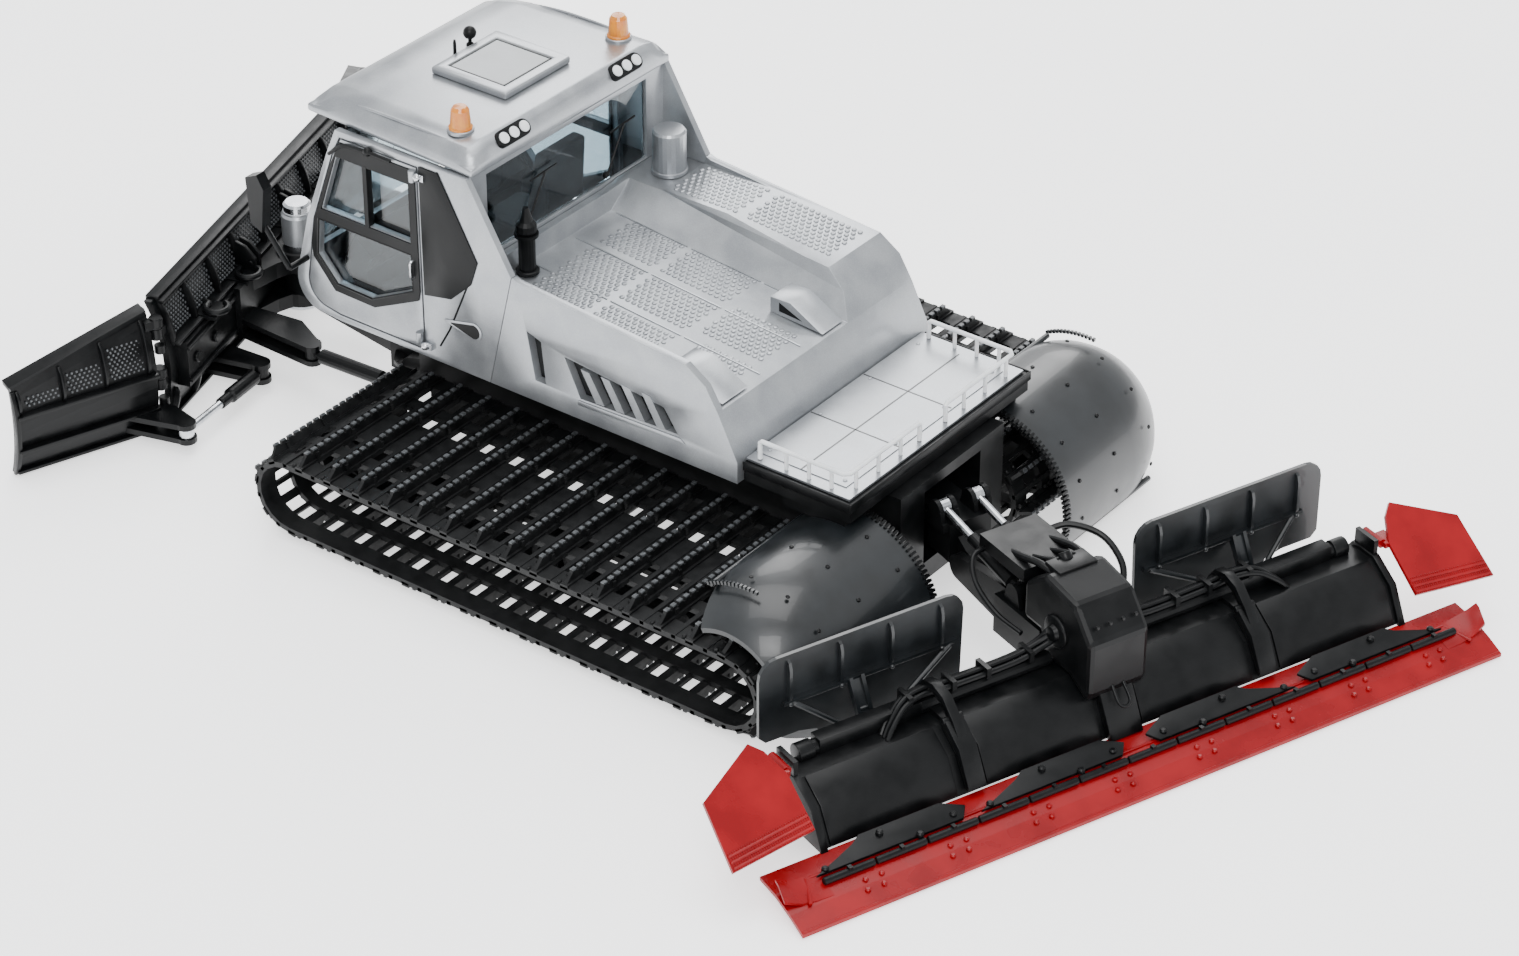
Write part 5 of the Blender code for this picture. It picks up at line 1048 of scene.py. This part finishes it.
# ---------------------------------------------------------------- tiller
def cover_details():
    panels = Shape()
    section = [(-110.4, 31.6), (-121.6, 24.7), (-128.9, 11.0), (-127.6, 10.6), (-120.6, 23.6), (-110.1, 30.2)]
    for s in SIDES.values():
        for near, far in ((9.5, 63.5), (77.0, 134.5)):
            panels.prism(section, "Y", s * near, s * far)
    piece("cover_panels", panels, BLACK, "tiller_lift", TILLER, 0.5)
    arches = Shape()
    outer = [(-91.5, 22), (-91.5, 37), (-95.5, 42.5), (-102, 44), (-109, 42), (-116, 35.5)]
    outer += [(-122.8, 26.5), (-128.0, 17), (-130.4, 12)]
    inner = [(-128, 12), (-125.3, 17.5), (-120.0, 26), (-113.5, 33), (-107.5, 38.5), (-102, 40.3)]
    inner += [(-97, 39.5), (-94.3, 36), (-94.3, 22)]
    foot = [(-112.0, 30.5), (-121.4, 24.0), (-128.6, 12.0), (-131.2, 12.4), (-123.4, 27.6), (-113.4, 35.0)]
    for s in SIDES.values():
        arches.prism(outer + inner, "Y", s * 67.4, s * 71.6)
        arches.prism(foot, "Y", s * 65.4, s * 73.6)
        arches.rod((-112.6, s * 64.8, 34.0), (-112.6, s * 74.2, 34.0), 1.5)
    piece("cover_arches", arches, BLACK, "tiller_lift", TILLER, 0.4)
    ends = Shape()
    rim = [(-90.5, 9.5), (-90.5, 23), (-97.4, 32.6), (-110.6, 32.6), (-122.4, 25), (-130.2, 9.5)]
    for s in SIDES.values():
        ends.prism(rim, "Y", s * 136.2, s * 139.4)
        ends.rod((-109.0, s * 139.4, 15.5), (-109.0, s * 141.4, 15.5), 4.2, 18)
        ends.rod((-98.5, s * 124.0, 33.0), (-98.5, s * 131.0, 33.0), 4.0, 16)
        ends.box((-101.8, min(s * 76, s * 122), 30.5), (-95.2, max(s * 76, s * 122), 37.4))
    piece("cover_ends", ends, BLACK, "tiller_lift", TILLER, 0.4)
    outline = [(-121.6, 30.0), (-123.6, 26.5), (-132.0, 10.2), (-129.2, 9.4), (-121.0, 24.0)]
    strap = Shape().prism(outline, "Y", -7.6, 7.6)
    bow = [(-123.6, -2.6, 30.5), (-128.8, -2.6, 25.0), (-130.0, 0, 23.4)]
    bow += [(-128.8, 2.6, 25.0), (-123.6, 2.6, 30.5)]
    strap.tube(smooth_path(bow), 0.75)
    piece("centre_strap", strap, BLACK, "tiller_lift", TILLER, 0.3)
    housing = Shape()
    hub = [(0, 7.0), (1.2, 7.0), (1.6, 6.2), (1.6, 3.4), (3.4, 3.0)]
    for s in SIDES.values():
        housing.turned(hub, (-102.0, s * 13.6, 47.0), (-102.0, s * 99, 47.0), 20)
    housing.box((-96.0, -9.0, 64.5), (-86.0, 9.0, 68.6))
    housing.turned([(0, 3.0), (3.4, 2.6)], (-88.0, 0.0, 67.0), (-84.0, 0.0, 72.0), 14)
    piece("housing_hubs", housing, BLACK, "tiller_lift", TILLER, 0.35)
    bolts = {"Start": (-121.0, -9.0, 58.0), "Step A": (0, 6.0, 0), "Step B": (-1.6, 0, -14.0)}
    bolts.update({"Count A": 4, "Count B": 2})
    grown("housing_bolts", FIELD, bolts, lying_stud(0.9, 0.8, (-1, 0, 0)), BLACK, "tiller_lift", TILLER)


def hoses():
    """Moulded hose bundles along the cover, over the housing and in one loose loop."""
    bundle = Shape()
    for s in SIDES.values():
        for k, drop in enumerate((-2.3, 0.0, 2.3)):
            high = 1.4 if k == 1 else 0.4
            route = [(-99.5 + 0.5 * drop, s * 13, 45 + drop), (-98 + drop, s * 20, 40 + high)]
            route += [(-97.8 + drop, s * 32, 37.6 + high), (-97.8 + drop, s * 60, 37.8 + high)]
            route += [(-97.8 + drop, s * 74, 38.8 + high), (-100 + drop, s * 84, 38.2 + high)]
            route += [(-103.5 + drop, s * 92, 34.0), (-105.5 + drop, s * 95.5, 30.5)]
            bundle.tube(smooth_path(route), 1.15)
        clip = [(-102.0, 36.6), (-102.0, 41.2), (-93.8, 41.2), (-93.8, 36.6)]
        for y in (24.0, 44.0, 60.0, 80.0):
            bundle.prism(clip, "Y", s * y, s * (y + 2.0))
        route = [(-60, s * 8.5, 59), (-72, s * 9.5, 63), (-84, s * 9, 66), (-93, s * 7, 64)]
        bundle.tube(smooth_path(route), 1.5)
        route = [(-70, s * 4.0, 60), (-80, s * 4.5, 64.5), (-88, s * 3.5, 68)]
        bundle.tube(smooth_path(route), 1.2)
    loop = [(-56, -12.5, 58), (-60, -22, 60), (-70, -31, 57), (-82, -32, 50), (-90, -26, 43), (-95, -20, 41)]
    bundle.tube(smooth_path(loop), 1.4)
    loop = [(-52, 12.5, 57), (-54, 20, 56), (-62, 24, 50), (-76, 24, 44), (-90, 22, 42)]
    bundle.tube(smooth_path(loop), 1.1)
    piece("hose_bundles", bundle, BLACK, "tiller_lift", TILLER)


def flap_ribs(side):
    s = SIDES[side]
    outline = [(0.2, 0.0), (-1.2, 0.6), (-2.5, 4.0), (-2.3, 16.5), (-1.4, 19.5), (0.2, 20.5)]
    rib = Shape().prism(outline, "Y", -0.65, 0.65)
    rib.ball((-2.0, 0, 1.0), 1.0, 10)
    inputs = {"Start": (FLAP_BACK_X, s * 52.0, 39.5), "Step A": (0, s * 23.0, 0), "Count A": 4, "Count B": 1}
    grown("flap_ribs_" + side, FIELD, inputs, rib, SHEEN, "tiller_lift", TILLER)
    brace = Shape()
    middle = s * 91.5
    for y in (48.0, 119.0):
        brace.rod((-89.5, middle, 19.5), (-79.5, s * y, 40.0), 1.1, 8)
        brace.rod((-79.2, s * 46.0, 40.6), (-79.2, s * 124.0, 40.6), 0.9, 8)
    web = [(-91.0, 17.0), (-91.0, 22.0), (-80.4, 42.6), (-78.2, 40.0)]
    for offset in (-2.6, 2.6):
        brace.prism(web, "Y", middle + offset - 0.8, middle + offset + 0.8)
    brace.rod((-85.2, middle - 3, 30.5), (-85.2, middle + 3, 30.5), 0.9, 8)
    piece("flap_braces_" + side, brace, SHEEN, "tiller_lift", TILLER)


def skirt_details():
    rods = Shape()
    for i in range(13):
        y = -153.5 + 23.2 * i
        rods.rod((-143.6, y, 9.3), (-143.6, y + 22.4, 9.3), 1.5, 10)
        rods.box((-144.6, y + 10.0, 9.6), (-142.6, y + 11.6, 11.6))
    piece("finisher_rods", rods, BLACK, "skirt", TILLER)
    leaf = [(-141.0, 0.0, 9.6), (-138.0, 9.0, 10.4), (-134.6, 20.0, 12.2), (-132.6, 24.0, 13.6)]
    leaf += [(-132.6, 60.0, 13.6), (-136.2, 70.0, 11.0), (-141.0, 66.0, 9.6)]
    heads = ((-139.6, 5.0, 10.6), (-135.0, 32.0, 13.4), (-138.4, 63.0, 11.4), (-141.4, 46.0, 11.0))
    leaves = Shape()
    studs = Shape()
    for y0, flip in ((-149.0, 1), (-75.0, 1), (75.0, -1), (149.0, -1)):
        under = [(x, y0 + flip * y, z) for x, y, z in leaf]
        leaves.loft([under, [(x, y, z + 1.3) for x, y, z in under]])
        for x, y, z in heads:
            studs.standing([(-0.5, 1.5), (1.0, 1.5), (1.6, 0.9)], (x, y0 + flip * y, z), 12)
    piece("finisher_leaves", leaves, BLACK, "skirt", TILLER, 0.4)
    piece("leaf_studs", studs, BLACK, "skirt", TILLER)
    for i, y in enumerate((-139, -101, -63, -25, 14, 52, 90, 128)):
        inputs = {"Start": (-148.0, y - 3.5, 6.5), "Step A": (0, 7.2, 0), "Step B": (-4.2, 1.6, -1.35)}
        inputs.update({"Count A": 2, "Count B": 2})
        boss = Shape().standing([(-0.6, 1.15), (0.5, 1.15), (0.95, 0.7)], (0, 0, 0), 10)
        grown(f"skirt_bosses_{i}", FIELD, inputs, boss, RED, "skirt", TILLER)
    ridge = Shape()
    ridge.rod((-138.6, -152.0, 8.9), (-138.6, 152.0, 8.9), 0.7, 8)
    ridge.rod((-157.6, -165.6, 2.3), (-157.6, 165.6, 2.3), 0.75, 8)
    flare = [(146, 0.0, -137.5), (153, 0.5, -137.5), (159, 2.0, -138.0), (163, 4.5, -139.5)]
    flare.append((166.5, 7.0, -140.5))
    for s in SIDES.values():
        rings = []
        for reach, lift, front in flare:
            top = [(front, 9.2), (-142.5, 8.3), (-149.0 + 0.3 * lift, 6.2)]
            ring = [(x, s * reach, z + lift * (1 if x > -143 else 0.55)) for x, z in top]
            rings.append(ring + [(x, y, z - 1.1) for x, y, z in reversed(ring)])
        ridge.loft(rings)
        ridge.rod((-138.5, s * 152.0, 9.0), (-150.0, s * 157.0, 6.9), 0.8, 8)
    piece("skirt_ridges", ridge, RED, "skirt", TILLER, 0, 40)


def finisher_comb(side):
    """Fine teeth and two beads along the lower edge of a side plate."""
    s = SIDES[side]
    slope = Vector((0.806, 0.0, 0.592))
    normal = Vector((-0.592, 0.0, 0.806))
    origin = Vector((-130.0, s * 143.2, 22.0)) + normal * 1.6
    beads = Shape()
    for up in (1.2, 3.6, 6.0):
        start = origin + slope * up
        end = origin + slope * (up - 0.107 * 36.5) + Vector((0, s * 36.5, 0))
        beads.rod(start, end, 0.7, 8)
    piece("finisher_beads_" + side, beads, RED, "finisher_" + side, TILLER)
    step = Vector((0, s * 1.0, 0)) - slope * 0.107
    tooth = Shape().rod((0, 0, 0), tuple(slope * 7.4), 0.32, 6)
    inputs = {"Start": tuple(origin - normal * 0.05), "Step A": tuple(step), "Count A": 37, "Count B": 1}
    grown("finisher_comb_" + side, FIELD, inputs, tooth, RED, "finisher_" + side, TILLER)


# ---------------------------------------------------------------- blade
def blade_back(z):
    """x of the mouldboard's back face at height z."""
    radius = BLADE_CURVE + BLADE_PLATE
    return BLADE_BACK_X + 5.0 + radius - math.sqrt(radius**2 - (z - BLADE_MIDDLE) ** 2)


def rib_outline(low, high, depth):
    """A fin on the back of the curved plate, (x, z)."""
    heights = [low + (high - low) * i / 8 for i in range(9)]
    seat = [(blade_back(z) + 0.8, z) for z in heights]
    edge = [(blade_back(z) - depth * (1 - abs(2 * i / 8 - 1) ** 4 * 0.6), z) for i, z in enumerate(heights)]
    return seat + edge[::-1]


def mesh_panel(name, body, place, y0, y1, z0, z1, lean=0.0):
    """Rows of small diamonds over one bay of the plate's back."""
    pitch = 2.3
    rows = max(2, int((z1 - z0) / (pitch * 0.62)))
    count = max(2, int((y1 - y0) / pitch))
    rise = (z1 - z0) / rows
    step = ((blade_back(z1) - blade_back(z0)) / rows, 0, rise)
    inputs = {"Start": (blade_back(z0) + lean - 0.05, y0, z0), "Step A": (0, pitch, 0), "Step B": step}
    inputs.update({"Count A": count, "Count B": rows, "Stagger": 0.5})
    grown(name, FIELD, inputs, lying_stud(0.62, 0.6, (-1, 0, 0), 4), PALE_HIGHLIGHT, body, place, smooth=0)


def main_blade_details():
    body = "blade_swing"
    ribs = Shape()
    bays = (-91.0, -70.0, -47.0, -24.0, 0.0, 24.0, 47.0, 70.0, 91.0)
    for y in bays:
        ribs.prism(rib_outline(40.0, 60.5, 3.2), "Y", y - 0.7, y + 0.7)
        if abs(y) > 50:
            ribs.prism(rib_outline(2.0, 18.5, 3.0), "Y", y - 0.7, y + 0.7)
    for z, depth in ((60.0, 3.4), (40.6, 4.4), (2.6, 3.0)):
        x = blade_back(z)
        ribs.box((x - depth, -91.7, z), (x + 1.0, 91.7, z + 1.5))
    ribs.box((blade_back(61) - 1.4, -91.7, 60.8), (blade_back(61) + 4.6, 91.7, 63.0))
    piece("blade_ribs", ribs, BLACK, body, BLADE, 0.25)
    for i, (near, far) in enumerate(zip(bays, bays[1:])):
        mesh_panel(f"blade_mesh_{i}", body, BLADE, near + 2.2, far - 2.0, 44.0, 58.0)
    hooks = Shape()
    turns = [math.radians(-20 + 15 * k) for k in range(19)]
    for y in (-58.0, -20.0, 30.0, 62.0):
        ring = [(358.0 + 5.0 * math.cos(t), y + 5.0 * math.sin(t), 44.0) for t in turns]
        hooks.tube([(366.0, y - 3.0, 44.0), *ring], 1.5, 10)
        hooks.box((355.5, y - 6.5, 41.0), (366.0, y + 6.5, 42.8))
    piece("blade_hooks", hooks, BLACK, body, BLADE)
    beam = Shape()
    for z in (20.5, 36.5):
        beam.box((358.6, -88.0, z), (360.4, 88.0, z + 1.6))
    for y in (-80.0, -62.0, 62.0, 80.0):
        beam.turned([(-0.5, 2.6), (1.0, 2.6), (1.4, 2.0)], (359.8, y, 29.0), (300, y, 29.0), 14)
    lug = [(356.5, 42.0), (356.5, 49.0), (361.0, 54.0), (366.0, 56.0), (366.0, 42.0)]
    for s in SIDES.values():
        low, high = sorted((s * 20.0, s * 26.0))
        beam.prism(lug, "Y", low, low + 1.6)
        beam.prism(lug, "Y", high - 1.6, high)
        beam.rod((359.0, low - 0.6, 46.0), (359.0, high + 0.6, 46.0), 1.5)
    piece("beam_trim", beam, BLACK, body, BLADE, 0.25)
    sleeve = [(0, 7.4), (13.5, 7.4), (14.6, 6.6), (15.4, 6.6), (16.2, 5.6)]
    collar = Shape().standing(sleeve, (KING_PIN_X, 0, 46.5), 28)
    piece("king_pin_sleeve", collar, SILVER, "blade_lift", BLADE)
    base = Shape().standing([(0, 10.5), (1.8, 10.5), (2.4, 9.8)], (KING_PIN_X, 0, 42.1), 28)
    piece("king_pin_flange", base, BLACK, body, BLADE)


def wing_details(side):
    s = SIDES[side]
    place = wing_place(side)
    body = "wing_" + side
    ribs = Shape()
    tops = []
    for share in (0.06, 0.36, 0.66, 0.97):
        y = s * (WING_START + WING_LENGTH * share)
        top = 61.0 - 16.0 * share
        lean = 4.0 * share
        tops.append((y, top, lean))
        outline = [(x + lean, z) for x, z in rib_outline(33.0, top - 1.5, 2.6)]
        ribs.prism(outline, "Y", y - 0.7, y + 0.7)
    for z, depth in ((31.5, 3.4), (14.0, 3.4), (1.6, 2.6)):
        near, far = WING_START + 0.4, WING_START + WING_LENGTH - 0.2
        back, front = blade_back(z) - depth, blade_back(z) + 1.0
        section = [(back, z), (front, z), (front, z + 1.5), (back, z + 1.5)]
        start = [(x, s * near, height) for x, height in section]
        ribs.loft([start, [(x + 4.0, s * far, z) for x, _, z in start]])
    crest = ((-1.5, 58.8), (4.4, 60.0), (4.4, 62.0), (-1.5, 61.0))
    start = [(blade_back(z) + x, s * (WING_START + 0.4), z) for x, z in crest]
    ribs.loft([start, [(x + 2.4, s * (WING_START + WING_LENGTH), z - 16.0) for x, _, z in start]])
    tip = [(x + 4.0, z) for x, z in rib_outline(0.9, 44.0, 2.4)]
    ribs.prism(tip, "Y", s * (WING_START + WING_LENGTH - 1.2), s * (WING_START + WING_LENGTH + 0.8))
    piece("wing_ribs_" + side, ribs, BLACK, body, place, 0.25)
    for i, ((near, high, lean), (far, low, _)) in enumerate(zip(tops, tops[1:])):
        y0, y1 = sorted((near, far))
        mesh_panel(f"wing_mesh_{side}_{i}", body, place, y0 + 2.0, y1 - 1.6, 36.0, low - 4.5, lean + 0.6)
    knuckles = Shape()
    x, y = WING_HINGE[0] - 1.0, s * WING_HINGE[1]
    for z in (14.0, 28.0, 40.0, 53.0):
        knuckles.rod((x, y, z), (x, y, z + 4.0), 2.4, 14)
    piece("wing_knuckles_" + side, knuckles, BLACK, "blade_swing", BLADE)


# ---------------------------------------------------------------- whole model
def paint(material, *nodes):
    for node in nodes:
        made = bpy.data.objects[node]
        made.data.materials.clear()
        made.data.materials.append(material)


def both(*names):
    return [f"{name}_{side}" for name in names for side in SIDES]


def paint_nodes():
    paint(SILVER, "cab_shell", "cab_roof", "engine_body", "exhaust_stack", "platform_plate", *both("door"))
    paint(WHITE, *both("deck_railing"))
    paint(SHEEN, *both("fender", "flap"))
    paint(BLACK, "chassis", "rear_platform", "rear_post", "dashboard", *both("mirror"))
    paint(BLACK, *AXLES, "blade_lift_frame", "blade_swing_head", "blade_main", *both("blade_wing"))
    paint(BLACK, "tiller_carrier", "tiller_arm", "tiller_cover", "tiller_gearbox", "tiller_rotor")
    paint(BLACK, *both("swing_barrel", "wing_barrel", "tiller_barrel"))
    paint(PLATED, "king_pin", *both("swing_rod", "wing_rod", "tiller_rod"))
    paint(RED, "skirt", *both("side_finisher"))
    paint(CLEAR, "windscreen", "rear_window", *both("door_glass"))
    paint(AMBER, *both("beacon"))
    paint(SMOKED, "roof_hatch")
    paint(SEAT, "driver_seat")


def studio():
    bpy.ops.mesh.primitive_plane_add(size=1.0)
    floor = bpy.context.object
    floor.name = "studio_floor"
    floor.data.transform(Matrix.Scale(9.0, 4))
    floor.data.materials.append(PAPER)
    world = bpy.data.worlds.new("studio")
    world.use_nodes = True
    world.node_tree.nodes["Background"].inputs["Color"].default_value = linear("#F4F6F8")
    world.node_tree.nodes["Background"].inputs["Strength"].default_value = 1.25
    bpy.context.scene.world = world
    middle = Vector((0.0, 0.0, 0.05))
    for name, place, size, power in (
        ("key_light", (-0.9, 1.2, 1.5), 0.9, 24.0),
        ("top_light", (0.1, -0.2, 1.9), 1.4, 22.0),
        ("back_light", (0.9, -1.4, 1.1), 1.0, 18.0),
    ):
        light = bpy.data.lights.new(name, "AREA")
        light.size = size
        light.energy = power
        made = bpy.data.objects.new(name, light)
        made.location = place
        made.rotation_euler = (middle - Vector(place)).to_track_quat("-Z", "Y").to_euler()
        bpy.context.scene.collection.objects.link(made)
    camera = bpy.data.cameras.new("front_camera")
    camera.lens = 99.5
    camera.sensor_width = 36.0
    camera.clip_start = 0.01
    made = bpy.data.objects.new("front_camera", camera)
    made.location = BODY @ Vector((-794.0, 1174.2, 973.5))
    made.rotation_euler = Vector((0.505, -0.670, -0.544)).to_track_quat("-Z", "Y").to_euler()
    bpy.context.scene.collection.objects.link(made)
    bpy.context.scene.camera = made


paint_nodes()
roof_fittings()
rear_wipers()
cab_inside()
bed_tread()
bin_tread()
wedge_steps()
stack_rings()
platform_details()
wheel_rims()
for side in SIDES:
    door_trim(side)
    quarter_trim(side)
    louvres(side)
    belts(side)
    track_details(side)
    hood(side)
    hood_details(side)
    softened("door_" + side, SILVER, "door_" + side, 0.5)
    body_seams(side)
    flap_ribs(side)
    finisher_comb(side)
    wing_details(side)
for node in ("cab_shell", "cab_roof", "engine_body"):
    softened(node, SILVER, "vehicle", 0.9)
cover_details()
hoses()
skirt_details()
main_blade_details()
studio()
